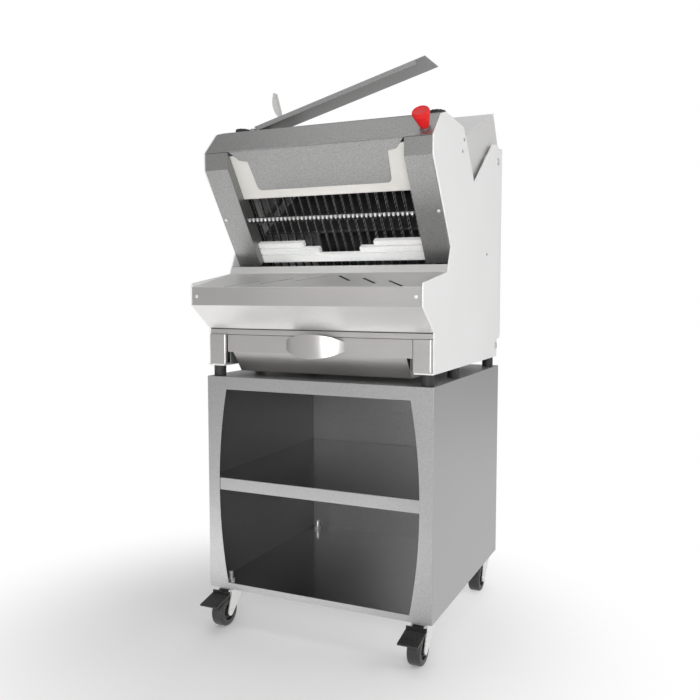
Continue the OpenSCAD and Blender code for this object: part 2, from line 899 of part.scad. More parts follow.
// Blade with a straight back and a serrated front edge in the cutting zone
module blade() {
    h0 = bed_h - 30;
    teeth = floor((guard_low - h0) / tooth_l);
    depth = 2.5;
    edge = [for (i = [0 : teeth - 1]) each [[0, h0 + i * tooth_l], [depth, h0 + (i + 0.5) * tooth_l]]];
    across(blade_t) polygon(concat([[blade_w, frame_low], [0, frame_low]], edge,
        [[0, h0 + teeth * tooth_l], [0, frame_high], [blade_w, frame_high]]));
}

module blades(first, b) {
    color("Gainsboro") leaning() for (i = [first : 2 : blade_n - 1])
        translate([blade_x(i), b + (frame_t - blade_w) / 2, 0]) blade();
}

module blades_a() { blades(0, frame_a); }
module blades_b() { blades(1, frame_back); }

module guide_rods() {
    color("Gainsboro") leaning() both_sides() for (b = [frame_a, frame_back])
        translate([guide_x, b + frame_t / 2, guide_low]) cylinder(d = guide_d, h = guide_high - guide_low);
}

// Blocks on the side panels that hold the ends of the guide rods
module guide_brackets() {
    color("DimGray") leaning() both_sides() for (h = [guide_low, guide_high - bracket_h]) difference() {
        block([guide_x - guide_d / 2 - 6, post_d + 1, h], [half_w, frame_back + frame_t + 4, h + bracket_h]);
        for (b = [frame_a, frame_back])
            translate([guide_x, b + frame_t / 2, h - eps]) cylinder(d = guide_d, h = bracket_h + 2 * eps);
    }
}

// Crank drive

module at_crank() {
    on_trolley() translate([0, crank_y, crank_z]) rotate([lean, 0, 0]) children();
}

// Shaft with two opposite eccentrics
module crank_shaft() {
    color("Gainsboro") at_crank() {
        translate([(pulley_x + pulley_w - bearing_x - bearing_w) / 2, 0, 0])
            roller(0, shaft_d, pulley_x + pulley_w + bearing_x + bearing_w);
        for (s = [-1, 1]) translate([0, -s * half_stroke, 0]) roller(s * rod_x, eccentric_d, rod_w + 4);
    }
}

module crank_pulley() {
    color("DimGray") at_crank() difference() {
        union() {
            roller(pulley_x, crank_pulley_d, pulley_w);
            for (s = [-1, 1]) roller(pulley_x + s * (pulley_w / 2 - 1), crank_pulley_d + 6, 2);
        }
        roller(pulley_x, shaft_d, pulley_w + 2 * eps);
        for (a = [0 : 60 : 300]) rotate([a, 0, 0]) translate([0, 0, crank_pulley_d / 3.2])
            roller(pulley_x, crank_pulley_d / 6, pulley_w + 2 * eps);
    }
}

// Two pillow blocks on the drive plate
module crank_bearings() {
    plate_z = base_z + plate_t;
    cap_r = shaft_d / 2 + bearing_wall;
    color("DimGray") on_trolley() for (s = [-1, 1]) translate([s * bearing_x, 0, 0]) difference() {
        across(bearing_w) union() {
            translate([crank_y, crank_z]) circle(r = cap_r);
            polygon([[crank_y - cap_r, crank_z], [crank_y + cap_r, crank_z],
                [crank_y + cap_r + bearing_foot, plate_z], [plate_y + 1, plate_z],
                [plate_y + 1, plate_z + bearing_toe]]);
        }
        translate([0, crank_y, crank_z]) roller(0, shaft_d + 2 * fit, bearing_w + 2 * eps);
    }
}

// Rod with a strap round its eccentric and an eye below its blade frame
module connecting_rod(s) {
    ring_b = -s * half_stroke;
    eye_b = s * (frame_t + frame_gap) / 2;
    eye_h = rod_eye_h - crank_h;
    arm = unit([eye_b - ring_b, eye_h]);
    side = 8 * left(arm);
    from = [ring_b, 0] + arm * (eccentric_d / 2 + rod_ring / 2);
    to = [eye_b, eye_h];
    color("SlateGray") at_crank() translate([s * rod_x, 0, 0]) across(rod_w) difference() {
        union() {
            translate([ring_b, 0]) circle(r = eccentric_d / 2 + rod_ring);
            polygon([from + side, from - side, to - side, to + side]);
            translate(to) circle(r = 12);
        }
        translate([ring_b, 0]) circle(r = eccentric_d / 2 + fit);
        translate(to) circle(r = 5);
    }
}

module connecting_rod_a() { connecting_rod(-1); }
module connecting_rod_b() { connecting_rod(1); }

motor_x = pulley_x - pulley_w / 2 - 24 - motor_l;

module at_motor() {
    on_trolley() translate([0, motor_y, motor_z]) children();
}

// Motor with end bells, cooling fins on both flanks, terminal box and foot
module motor() {
    bell = 24;
    mid = motor_x + motor_l / 2;
    core_r = motor_d / 2 - 8;
    floor_z = base_z + plate_t - motor_z;
    color("SteelBlue") at_motor() {
        roller(mid, 2 * core_r, motor_l - 2 * bell);
        for (a = [0 : 12 : 348]) if (abs(cos(a)) < 0.75) rotate([a, 0, 0])
            block([motor_x + bell, -1.5, core_r - 3], [motor_x + motor_l - bell, 1.5, core_r + 5]);
        for (x = [motor_x + bell / 2, motor_x + motor_l - bell / 2]) roller(x, motor_d, bell);
        block([mid - 50, -60, floor_z], [mid + 50, 60, floor_z + 8]);
        for (s = [-1, 1])
            block([mid - 40, s * 30 - 5, floor_z + 7], [mid + 40, s * 30 + 5, 26 - motor_d / 2]);
        block([mid - 35, -30, core_r - 12], [mid + 35, 30, core_r + 34]);
    }
}

motor_shaft_d = 19;

// Pulley turning with the motor shaft
module motor_pulley() {
    color("DimGray") at_motor() {
        roller(pulley_x, motor_pulley_d, pulley_w);
        for (s = [-1, 1]) roller(pulley_x + s * (pulley_w / 2 - 1), motor_pulley_d + 6, 2);
        x0 = motor_x + motor_l + gap;
        translate([(x0 + pulley_x) / 2, 0, 0]) roller(0, motor_shaft_d, pulley_x - x0);
    }
}

// Belt loop round both pulleys
module drive_belt() {
    r1 = crank_pulley_d / 2 + gap;
    r2 = motor_pulley_d / 2 + gap;
    color([0.12, 0.12, 0.12]) on_trolley() translate([pulley_x, 0, 0])
    across(pulley_w - 4 - 2 * gap) difference() {
        belt_loop(r1 + belt_t, r2 + belt_t);
        belt_loop(r1, r2);
    }
}

// Outline of a taut loop round both pulley axes
module belt_loop(r1, r2) {
    hull() {
        translate([crank_y, crank_z]) circle(r = r1, $fn = 96);
        translate([motor_y, motor_z]) circle(r = r2, $fn = 96);
    }
}

// Bread path behind the blades

bed_front = frame_back + frame_t + 6;
lid_t = 2;
lid_pin = 6;
lid_knuckle = 10;
lid_b = cheek_knee + 4;
lid_h = cheek_h - sheet - lid_knuckle / 2;
lid_lug = 12;
lid_lug_x = 150;
bridge_end = lid_b - 8;
boss_d = 20;
boss_front = 40;
boss_h = 120;
boss_rear = 41;

module bread_bed() {
    color("Silver") leaning() {
        block([-cheek_in, bed_front, bed_h - bed_t], [cheek_in, hood_l - 4, bed_h]);
        both_sides() block([cheek_in - 3, bed_front + 20, cheek_low], [cheek_in, hood_l - 4, bed_h - bed_t]);
    }
}

// Lug and pin of the lid hinge below the bridge
module lid_pivot() {
    for (s = [-1, 1]) translate([s * lid_lug_x, 0, 0]) across(lid_lug) union() {
        translate([lid_b, lid_h]) circle(d = lid_knuckle);
        translate([lid_b - 24, lid_h - lid_knuckle / 2]) square([24, lid_knuckle]);
    }
    translate([0, lid_b, lid_h]) roller(0, lid_pin, 2 * lid_lug_x + lid_lug);
}

// Two hollow cheeks with slots for the pusher arms, joined by the rear wall and the bridge
module loading_hood() {
    rear = hood_l - 4;
    cheek = [[cheek_front, cheek_low], [rear, cheek_low], [rear, cheek_rear_h],
        [cheek_knee, cheek_h], [cheek_front, cheek_h]];
    hollow = [[cheek_front + sheet, cheek_low - eps], [rear - sheet, cheek_low - eps],
        [rear - sheet, cheek_rear_h - sheet], [cheek_knee, cheek_h - sheet],
        [cheek_front + sheet, cheek_h - sheet]];
    color("DarkGray") leaning() {
        both_sides() {
            difference() {
                translate([pusher_rail_x, 0, 0]) across(cheek_w) polygon(cheek);
                translate([pusher_rail_x, 0, 0]) across(cheek_w - 2 * sheet) polygon(hollow);
                block([cheek_in - eps, cheek_front + 10, slot_h - 8],
                    [cheek_in + 2 * sheet, rear - 10, slot_h + 8]);
            }
            for (p = [[cheek_front + boss_front, boss_h], [notch_rear_b - boss_rear, cheek_low + boss_d]])
                translate([cheek_out, p[0], p[1]]) rotate([0, 90, 0])
                    cylinder(d = boss_d, h = half_w - cheek_out);
        }
        block([-cheek_out, rear, cheek_low], [cheek_out, hood_l, cheek_rear_h - sheet]);
        block([-cheek_in - sheet, cheek_front, cheek_h - sheet], [cheek_in + sheet, bridge_end, cheek_h]);
        lid_pivot();
    }
}

// Lid over the sloping rear part of the hood, hinged at the bridge
module hood_lid() {
    rear = hood_l - 4;
    fall = atan2(cheek_h - cheek_rear_h, rear - cheek_knee);
    seat = (lid_b - cheek_knee) * -sin(fall) + (cheek_h - lid_h) * cos(fall) + gap;
    length = (hood_l - lid_b) / cos(fall) + 8;
    inner = lid_lug_x - lid_lug / 2 - gap;
    color("DarkGray") leaning() translate([0, lid_b, lid_h]) rotate([-fall, 0, 0]) difference() {
        union() {
            block([-cheek_out, lid_lug, seat], [cheek_out, length, seat + lid_t]);
            block([-inner, -1, seat], [inner, lid_lug, seat + lid_t]);
            block([-inner, -1, 0], [inner, 4, seat]);
            roller(0, lid_knuckle, 2 * inner);
            block([-60, length, seat - 10], [60, length + lid_t, seat + lid_t]);
        }
        roller(0, lid_pin + 2 * fit, 2 * lid_lug_x);
    }
}

module pusher_rails() {
    color("Gainsboro") leaning() both_sides()
        translate([pusher_rail_x, cheek_front + sheet, slot_h]) rotate([-90, 0, 0])
            cylinder(d = pusher_rail_d, h = hood_l - 4 - cheek_front - 2 * sheet);
}

// Pusher plate with one finger for each gap between the blades and two bushes on the rails
module pusher() {
    plate = cheek_in - 4;
    color("LightSteelBlue") leaning() {
        block([-plate, pusher_b, bed_h + gap], [plate, pusher_b + pusher_t, bed_h + pusher_h]);
        for (i = [1 : blade_n - 1]) translate([blade_x(i - 0.5), 0, 0])
            block([-finger_w / 2, pusher_b - finger_l, bed_h + 8], [finger_w / 2, pusher_b, finger_top]);
        both_sides() {
            block([plate, pusher_b, slot_h - 6],
                [pusher_rail_x - pusher_rail_d / 2 - 2, pusher_b + pusher_t, slot_h + 6]);
            translate([pusher_rail_x, pusher_b + pusher_t / 2, slot_h]) rotate([90, 0, 0]) difference() {
                cylinder(d = pusher_rail_d + 12, h = bush_l, center = true);
                cylinder(d = pusher_rail_d + 2 * fit, h = bush_l + 2 * eps, center = true);
            }
        }
    }
}

// Top

seam = sheet / 2;
lug_half = 7;

// Top sheet with an access opening under the flap, a turned-down rear edge and two hinge lugs
module top_cover() {
    path = [[lean_y(notch_b - 12, cheek_h + 8), lean_z(notch_b - 12, cheek_h + 8)],
        [top_back, top_z - top_fall], [top_y + seam, top_z - seam * top_fall / top_l]];
    lug = 11;
    color("Gray") on_trolley() difference() {
        union() {
            across(2 * half_w) polygon(folded(path, sheet));
            for (y = [flap_y + 1, flap_y + flap_w - 1 - lug])
                block([hinge_x - lug_half, y, top_z - top_fall],
                    [hinge_x + lug_half, y + lug, hinge_z + knuckle_d / 2 - gap - 0.2]);
        }
        block([-access_x, flap_y + 16, top_z - 20], [access_x, flap_y + flap_w - 16, top_z + 4]);
        translate([hinge_x, flap_y - eps, hinge_z]) rotate([-90, 0, 0])
            cylinder(d = pin_d, h = flap_w + 2 * eps);
        block([hinge_x - 9, flap_y + 1 + lug, hinge_z - knuckle_d / 2 - gap],
            [hinge_x + 9, flap_y + flap_w - 1 - lug, hinge_z + knuckle_d]);
    }
}

module on_flap() {
    on_trolley() translate([hinge_x, flap_y, hinge_z]) rotate([0, -flap_open, 0]) children();
}

// Plate with a knuckle at the left and a folded front edge
module top_flap() {
    t = 2;
    z = knuckle_d / 2;
    k0 = 12 + gap;
    k1 = flap_w - 12 - gap;
    color("Gray") on_flap() difference() {
        union() {
            block([lug_half + gap, 0, z], [flap_l, flap_w, z + t]);
            block([-z, k0, z], [lug_half + gap, k1, z + t]);
            block([knuckle_d, 0, z - flap_lip], [flap_l - 26, t, z]);
            translate([0, k0, 0]) rotate([-90, 0, 0]) cylinder(d = knuckle_d, h = k1 - k0);
            block([-z, k0, 0], [z, k1, z]);
        }
        translate([0, -eps, 0]) rotate([-90, 0, 0]) cylinder(d = pin_d + 2 * fit, h = flap_w + 2 * eps);
    }
}

// White crescent grip that stands on the flap
module flap_grip() {
    base_z = knuckle_d / 2 + 2;
    wide = 56;
    thick = 9;
    r_out = grip_h * 0.8;
    inner = r_out - thick;
    horn = sqrt(r_out * r_out - pow(grip_h * 0.52, 2));
    shift = (r_out * r_out - inner * inner) / (2 * (inner - horn));
    x0 = 74;
    color("White") on_flap() translate([0, (flap_w - wide) / 2, base_z]) {
        block([x0 - 16, 0, 0], [x0 + 22, wide, 3]);
        intersection() {
            translate([x0 - 16, 0, 3]) cube([60, wide, grip_h - 3]);
            translate([x0 - 12 + r_out, wide, grip_h * 0.52]) rotate([90, 0, 0]) difference() {
                cylinder(r = r_out, h = wide, $fn = 120);
                translate([shift, 0, -eps])
                    cylinder(r = inner + shift, h = wide + 2 * eps, $fn = 180);
            }
        }
    }
}

module flap_hinge_pin() {
    color("Gainsboro") on_trolley() translate([hinge_x, flap_y + 1, hinge_z]) rotate([-90, 0, 0])
        cylinder(d = pin_d, h = flap_w - 2);
}

// Fluted rubber bumpers, square to the sloping top
module rubber_bumpers() {
    base = top_z - top_fall * (bumper_y - top_y) / top_l;
    tilt = atan2(top_fall, top_l);
    high = bumper_top - base - bumper_d / 2 * sin(tilt);
    color([0.08, 0.08, 0.08]) on_trolley() for (s = [-1, 1])
        translate([s * bumper_x, bumper_y, base]) rotate([-tilt, 0, 0]) difference() {
            cylinder(d = bumper_d, h = high);
            for (a = [0 : 30 : 330]) rotate([0, 0, a]) translate([bumper_d / 2 + 2, 0, -eps])
                cylinder(d = 8, h = high + 2 * eps);
        }
}

// Emergency stop on the fascia

stop_edge = 24;
stop_x = half_w - stop_edge;
stop_place = 0.38;
stop_stem = 20;
collar_w = 3;
collar_h = 2;

module at_stop_local() {
    translate([stop_x, badge_y + stop_place * fascia_run, badge_top + stop_place * fascia_rise])
        rotate([fascia_slope, 0, 0]) children();
}

module stop_collar() {
    color([0.2, 0.2, 0.2]) on_trolley() at_stop_local() difference() {
        cylinder(d = stop_stem + 2 * collar_w, h = collar_h);
        translate([0, 0, -eps]) cylinder(d = stop_stem + 2 * fit, h = collar_h + 2 * eps);
    }
}

// Mushroom head on a flared stem, turned from one outline
module stop_button() {
    press = 6;
    color("Red") on_trolley() at_stop_local() rotate_extrude($fn = 64) union() {
        translate([0, -sheet - 1]) square([stop_stem / 2, collar_h + press + sheet + 1]);
        polygon([[0, collar_h + press], [stop_stem / 2 + 2, collar_h + press],
            [stop_d / 2 - 2, stop_h - 16], [0, stop_h - 16]]);
        translate([0, stop_h - 16]) square([stop_d / 2 - 4, 14]);
        translate([stop_d / 2 - 6, stop_h - 10]) circle(r = 6);
        translate([0, stop_h - 10]) square([stop_d / 2 - 6, 10 - 4]);
    }
}

// Fasteners that show

lock_d = 19;
lock_edge = 13;
lock_low = 28;
lock_drop = 45;

module side_lock(y, z) {
    translate([half_w + panel_t, y, z]) rotate([0, 90, 0]) difference() {
        cylinder(d = lock_d, h = 2);
        translate([-1, -7, 1]) cube([2, 14, 2]);
    }
}

module screw_head() {
    cylinder(d = 8, h = screw_proud);
}

// Quarter-turn locks of the side panels, and screws of the lip, the posts and the panels
module panel_fasteners() {
    lip_screw_z = lip_z + lip_h / 2;
    color("Gainsboro") on_trolley() both_sides() {
        side_lock(body_d - lock_edge, base_z + lock_low);
        side_lock(body_d - lock_edge, rear_top - lock_drop);
        translate([half_w - 13, lip_y, lip_screw_z]) rotate([90, 0, 0]) screw_head();
        translate([half_w - 9, lean_y(0, post_l / 2), lean_z(0, post_l / 2)])
            rotate([90 + lean, 0, 0]) screw_head();
        for (p = [[notch_b - 56, notch_h + 110], [notch_b - 30, notch_h + 128], [notch_b + 10, -140]])
            translate([half_w + panel_t, lean_y(p[0], p[1]), lean_z(p[0], p[1])])
                rotate([0, 90, 0]) screw_head();
    }
}

cabinet_front_frame();
cabinet_left_side();
cabinet_right_side();
cabinet_top();
cabinet_floor();
cabinet_back();
cabinet_shelf();
caster_stems();
caster_fork_fl();
caster_fork_fr();
caster_fork_rl();
caster_fork_rr();
caster_wheel_fl();
caster_wheel_fr();
caster_wheel_rl();
caster_wheel_rr();
brake_pedal_fl();
brake_pedal_fr();
rubber_feet();
base_frame();
base_front_posts();
left_side_panel();
right_side_panel();
slicing_table();
crumb_drawer();
drawer_pull();
front_posts();
front_fascia();
tongue_panel();
guard_panel();
outlet_slats();
blade_guide_comb();
blade_frame_a();
blade_frame_b();
blades_a();
blades_b();
guide_rods();
guide_brackets();
crank_shaft();
crank_pulley();
crank_bearings();
connecting_rod_a();
connecting_rod_b();
motor();
motor_pulley();
drive_belt();
bread_bed();
loading_hood();
hood_lid();
pusher_rails();
pusher();
rear_cover();
top_cover();
top_flap();
flap_grip();
flap_hinge_pin();
rubber_bumpers();
stop_collar();
stop_button();
panel_fasteners();
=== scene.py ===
"""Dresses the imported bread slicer: finishes, detail pieces, studio light and camera.

Everything is in metres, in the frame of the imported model: the origin lies on the ground
under the middle of the machine, the front faces -Y and +X is to the right.
"""

from __future__ import annotations

import json
import logging
import math
from dataclasses import dataclass, field
from enum import Enum
from typing import Any, Callable, Mapping, Sequence, Union

import bpy
from mathutils import Matrix, Vector

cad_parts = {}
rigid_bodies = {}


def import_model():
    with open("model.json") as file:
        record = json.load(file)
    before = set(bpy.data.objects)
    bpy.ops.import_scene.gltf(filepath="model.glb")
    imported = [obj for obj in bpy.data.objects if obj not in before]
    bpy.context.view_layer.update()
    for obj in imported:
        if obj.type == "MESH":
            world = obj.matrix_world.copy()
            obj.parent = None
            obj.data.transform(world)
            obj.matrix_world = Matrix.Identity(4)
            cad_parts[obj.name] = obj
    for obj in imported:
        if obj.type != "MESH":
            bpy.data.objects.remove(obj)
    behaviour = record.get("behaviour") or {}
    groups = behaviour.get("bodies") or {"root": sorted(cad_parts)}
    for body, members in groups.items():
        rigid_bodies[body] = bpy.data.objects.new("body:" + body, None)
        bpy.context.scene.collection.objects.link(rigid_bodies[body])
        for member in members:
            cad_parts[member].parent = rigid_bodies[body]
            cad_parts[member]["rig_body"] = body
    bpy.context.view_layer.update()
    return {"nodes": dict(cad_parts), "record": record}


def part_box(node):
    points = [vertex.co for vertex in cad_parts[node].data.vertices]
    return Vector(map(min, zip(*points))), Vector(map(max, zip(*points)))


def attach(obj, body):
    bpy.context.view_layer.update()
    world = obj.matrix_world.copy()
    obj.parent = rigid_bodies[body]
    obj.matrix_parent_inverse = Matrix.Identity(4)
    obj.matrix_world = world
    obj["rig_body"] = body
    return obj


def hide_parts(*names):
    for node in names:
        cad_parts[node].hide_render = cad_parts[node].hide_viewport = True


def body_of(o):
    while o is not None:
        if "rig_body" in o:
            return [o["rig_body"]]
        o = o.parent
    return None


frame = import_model()

log = logging.getLogger("slicer")

Number = Union[float, int, "Port"]
Colour = tuple[float, float, float]
Point = tuple[float, float, float]
Flat = tuple[float, float]
Plane = tuple[Sequence[float], Sequence[float]]
Piece = bpy.types.Object
Widths = dict[str, float]

MERGE_DISTANCE = 1e-6
FLAT_ANGLE = math.radians(0.6)
ROUND_ANGLE = math.radians(30.0)
ROUND_FACETS = 2
NORMAL_WEIGHT = 90


class Axis(Enum):
    """Direction in which a piece is turned or a surface is brushed."""

    X = 0
    Y = 1
    Z = 2


class Slot(str, Enum):
    """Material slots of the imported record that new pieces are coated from."""

    RED = "red_plastic"
    SHELL = "white_paint"
    ZINC = "zinc"
    IRON = "frame_iron"
    CABINET = "cabinet_paint"
    INNER = "cabinet_inner"
    DARK = "base_paint"
    STEEL = "stainless"
    GREY = "grey_paint"
    BLADE = "blade_steel"


# Shader graphs


class Port:
    """Output socket of a shader graph that can be used in Python expressions."""

    def __init__(self, graph: "Graph", socket: bpy.types.NodeSocket) -> None:
        """Keeps the graph and the socket."""
        self.graph = graph
        self.socket = socket

    def _math(self, operation: str, first: Number, second: Number) -> "Port":
        """Adds one Math node.

        Args:
            operation: Name of the Math operation.
            first: First operand.
            second: Second operand.

        Returns:
            The value of the new node.
        """
        return self.graph.add("ShaderNodeMath", {"operation": operation}, {0: first, 1: second})

    def __add__(self, other: Number) -> "Port":
        """Sum."""
        return self._math("ADD", self, other)

    def __radd__(self, other: Number) -> "Port":
        """Sum with a number on the left."""
        return self._math("ADD", other, self)

    def __sub__(self, other: Number) -> "Port":
        """Difference."""
        return self._math("SUBTRACT", self, other)

    def __rsub__(self, other: Number) -> "Port":
        """Difference with a number on the left."""
        return self._math("SUBTRACT", other, self)

    def __mul__(self, other: Number) -> "Port":
        """Product."""
        return self._math("MULTIPLY", self, other)

    def __rmul__(self, other: Number) -> "Port":
        """Product with a number on the left."""
        return self._math("MULTIPLY", other, self)

    def over(self, edge: float, soft: float) -> "Port":
        """Smooth step.

        Args:
            edge: Value at which the step is half way up.
            soft: Width of the step.

        Returns:
            A value from 0 below the step to 1 above it.
        """
        return self.graph.add(
            "ShaderNodeMapRange",
            {"interpolation_type": "SMOOTHSTEP"},
            {"Value": self, "From Min": edge - soft / 2, "From Max": edge + soft / 2},
        )


class Graph:
    """Node tree of one material or of the world."""

    def __init__(self, owner: Any, end: str = "ShaderNodeOutputMaterial") -> None:
        """Empties the owner's tree and adds its output node.

        Args:
            owner: Material or world.
            end: Type name of the output node.
        """
        owner.use_nodes = True
        self.tree = owner.node_tree
        self.tree.nodes.clear()
        self.output = self.tree.nodes.new(end)

    def add(
        self,
        kind: str,
        settings: Mapping[str, Any] | None = None,
        inputs: Mapping[Any, Any] | None = None,
        output: Any = 0,
    ) -> Port:
        """Adds a node, sets it up and links its inputs.

        Args:
            kind: Type name of the node.
            settings: Properties of the node.
            inputs: Values or ports by socket name or number.
            output: Name or number of the output that is returned.

        Returns:
            The chosen output.
        """
        node = self.tree.nodes.new(kind)
        for key, value in (settings or {}).items():
            setattr(node, key, value)
        for key, value in (inputs or {}).items():
            if isinstance(value, Port):
                self.tree.links.new(value.socket, node.inputs[key])
            else:
                node.inputs[key].default_value = value
        return Port(self, node.outputs[output])

    def place(self, scale: Point = (1.0, 1.0, 1.0)) -> Port:
        """Object coordinates, stretched by a Mapping node."""
        coords = self.add("ShaderNodeTexCoord", output="Object")
        return self.add("ShaderNodeMapping", None, {"Vector": coords, "Scale": scale})

    def noise(self, where: Port, scale: float, detail: float = 3.0, rough: float = 0.55) -> Port:
        """Noise value between 0 and 1 at a place."""
        return self.add(
            "ShaderNodeTexNoise",
            None,
            {"Vector": where, "Scale": scale, "Detail": detail, "Roughness": rough},
        )

    def blend(self, factor: Number, low: Any, high: Any) -> Port:
        """Mix of two colours by a factor."""
        return self.add(
            "ShaderNodeMix",
            {"data_type": "RGBA"},
            {0: factor, 6: rgba(low), 7: rgba(high)},
            2,
        )

    def bump(self, height: Port, strength: float, distance: float) -> Port:
        """Surface normal that follows a height."""
        return self.add(
            "ShaderNodeBump", None, {"Height": height, "Strength": strength, "Distance": distance}
        )

    def close(self, shader: Port) -> None:
        """Links a shader to the output."""
        self.tree.links.new(shader.socket, self.output.inputs["Surface"])

    def surface(self, inputs: Mapping[str, Any]) -> None:
        """Adds the Principled shader and links it to the output."""
        self.close(self.add("ShaderNodeBsdfPrincipled", None, inputs))


def rgba(colour: Any) -> Any:
    """Adds alpha to a plain colour and leaves a port alone."""
    return colour if isinstance(colour, Port) else (*colour, 1.0)


def shade(colour: Colour, factor: float) -> Colour:
    """Lighter or darker copy of a colour."""
    return tuple(min(1.0, part * factor) for part in colour)


# Finishes


@dataclass(frozen=True)
class Finish:
    """Finish of one material slot."""

    slot: str
    colour: Colour
    roughness: float

    def make(self) -> bpy.types.Material:
        """Builds the material.

        Returns:
            The finished material, named after its slot.
        """
        material = bpy.data.materials.new(self.slot)
        self.paint(Graph(material))
        return material

    def paint(self, graph: Graph) -> None:
        """Fills the graph; each kind of finish has its own way."""
        raise NotImplementedError


@dataclass(frozen=True)
class Coat(Finish):
    """Powder or metallic coat: fine grain, faint patches and an orange-peel bump."""

    grain: float = 900.0
    speckle: float = 0.12
    peel: float = 0.25
    metal: float = 0.0
    gloss: float = 0.0
    mottle: float = 0.0
    flake_scale: float = 330.0
    patch_scale: float = 3.5
    patch_depth: float = 0.14
    mid_tone: float = 0.62
    dark_share: float = 0.5
    light_share: float = 1.3
    rough_grain: float = 0.12
    rough_patch: float = 0.06
    peel_height: float = 0.0004

    def paint(self, graph: Graph) -> None:
        """Grain and coarser flakes over broad patches, with the grain also in the bump.

        Args:
            graph: Node tree of the material.
        """
        where = graph.place()
        grain = graph.noise(where, self.grain, 2.0, 0.7)
        flakes = graph.noise(where, self.flake_scale, 2.0, 0.8)
        patch = graph.noise(where, self.patch_scale, 3.0)
        grained, patched = grain - 0.5, patch - 0.5
        depth = self.mid_tone + grained * (2.0 * self.speckle) + patched * self.patch_depth
        depth = depth + (flakes - 0.5) * self.mottle
        dark, light = shade(self.colour, self.dark_share), shade(self.colour, self.light_share)
        tone = graph.blend(depth, dark, light)
        rough = self.roughness + grained * self.rough_grain + patched * self.rough_patch
        graph.surface(
            {
                "Base Color": tone,
                "Roughness": rough,
                "Metallic": self.metal,
                "Coat Weight": self.gloss,
                "Normal": graph.bump(grain, self.peel, self.peel_height),
            }
        )


@dataclass(frozen=True)
class Brushed(Finish):
    """Brushed metal: long fine streaks along one axis."""

    along: Axis = Axis.X
    streak: float = 0.22
    metal: float = 1.0
    fine_scale: float = 900.0
    long_scale: float = 6.0
    smudge_scale: float = 7.0
    smudge_share: float = 0.15
    mid_tone: float = 0.85
    dark_share: float = 0.6
    light_share: float = 1.08
    rough_lines: float = 0.2
    rough_smudge: float = 0.12
    relief: float = 0.12
    relief_height: float = 0.0003

    def paint(self, graph: Graph) -> None:
        """Stretched noise in colour, roughness and bump, and a few faint smudges.

        Args:
            graph: Node tree of the material.
        """
        scale = [self.fine_scale] * 3
        scale[self.along.value] = self.long_scale
        lines = graph.noise(graph.place(tuple(scale)), 1.0, 4.0, 0.6)
        smudge = graph.noise(graph.place(), self.smudge_scale, 4.0)
        tone = graph.blend(
            lines * self.streak * 2.0 + smudge * self.smudge_share + (self.mid_tone - self.streak),
            shade(self.colour, self.dark_share),
            shade(self.colour, self.light_share),
        )
        rough = self.roughness + (lines - 0.5) * self.rough_lines
        rough = rough + (smudge - 0.5) * self.rough_smudge
        graph.surface(
            {
                "Base Color": tone,
                "Roughness": rough,
                "Metallic": self.metal,
                "Normal": graph.bump(lines, self.relief, self.relief_height),
            }
        )


@dataclass(frozen=True)
class Moulded(Finish):
    """Rubber or plastic: moulding texture with worn, dusty patches."""

    grain: float = 600.0
    dust: float = 0.1
    relief: float = 0.15
    gloss: float = 0.0
    shine: float = 0.5
    patch_scale: float = 14.0
    dust_edge: float = 0.62
    dust_soft: float = 0.3
    dust_share: float = 0.6
    dust_grey: float = 0.25
    grain_share: float = 0.25
    dark_share: float = 0.7
    rough_patch: float = 0.15
    relief_height: float = 0.0003

    def paint(self, graph: Graph) -> None:
        """Fine texture with broad dusty patches.

        Args:
            graph: Node tree of the material.
        """
        where = graph.place()
        grain = graph.noise(where, self.grain, 2.0)
        patch = graph.noise(where, self.patch_scale, 5.0, 0.65)
        dusty = patch.over(self.dust_edge, self.dust_soft) * self.dust
        pale = tuple(part * self.dust_share + self.dust_grey for part in self.colour)
        tone = graph.blend(dusty, self.colour, pale)
        tone = graph.blend(grain * self.grain_share, tone, shade(self.colour, self.dark_share))
        graph.surface(
            {
                "Base Color": tone,
                "Roughness": self.roughness + (patch - 0.5) * self.rough_patch,
                "Coat Weight": self.gloss,
                "Specular IOR Level": self.shine,
                "Normal": graph.bump(grain, self.relief, self.relief_height),
            }
        )


@dataclass(frozen=True)
class Cast(Finish):
    """Cast iron under dark paint: pitted skin with oily patches."""

    metal: float = 0.35
    pit_scale: float = 420.0
    oil_scale: float = 18.0
    oil_edge: float = 0.6
    oil_soft: float = 0.2
    oil_gloss: float = 0.2
    dark_share: float = 0.7
    light_share: float = 1.15
    relief: float = 0.35
    relief_height: float = 0.0005

    def paint(self, graph: Graph) -> None:
        """Pits in the bump and oil in the roughness.

        Args:
            graph: Node tree of the material.
        """
        where = graph.place()
        pits = graph.add("ShaderNodeTexVoronoi", None, {"Vector": where, "Scale": self.pit_scale})
        oil = graph.noise(where, self.oil_scale, 4.0)
        dark, light = shade(self.colour, self.dark_share), shade(self.colour, self.light_share)
        tone = graph.blend(oil, dark, light)
        oily = oil.over(self.oil_edge, self.oil_soft)
        graph.surface(
            {
                "Base Color": tone,
                "Roughness": self.roughness - oily * self.oil_gloss,
                "Metallic": self.metal,
                "Normal": graph.bump(pits, self.relief, self.relief_height),
            }
        )


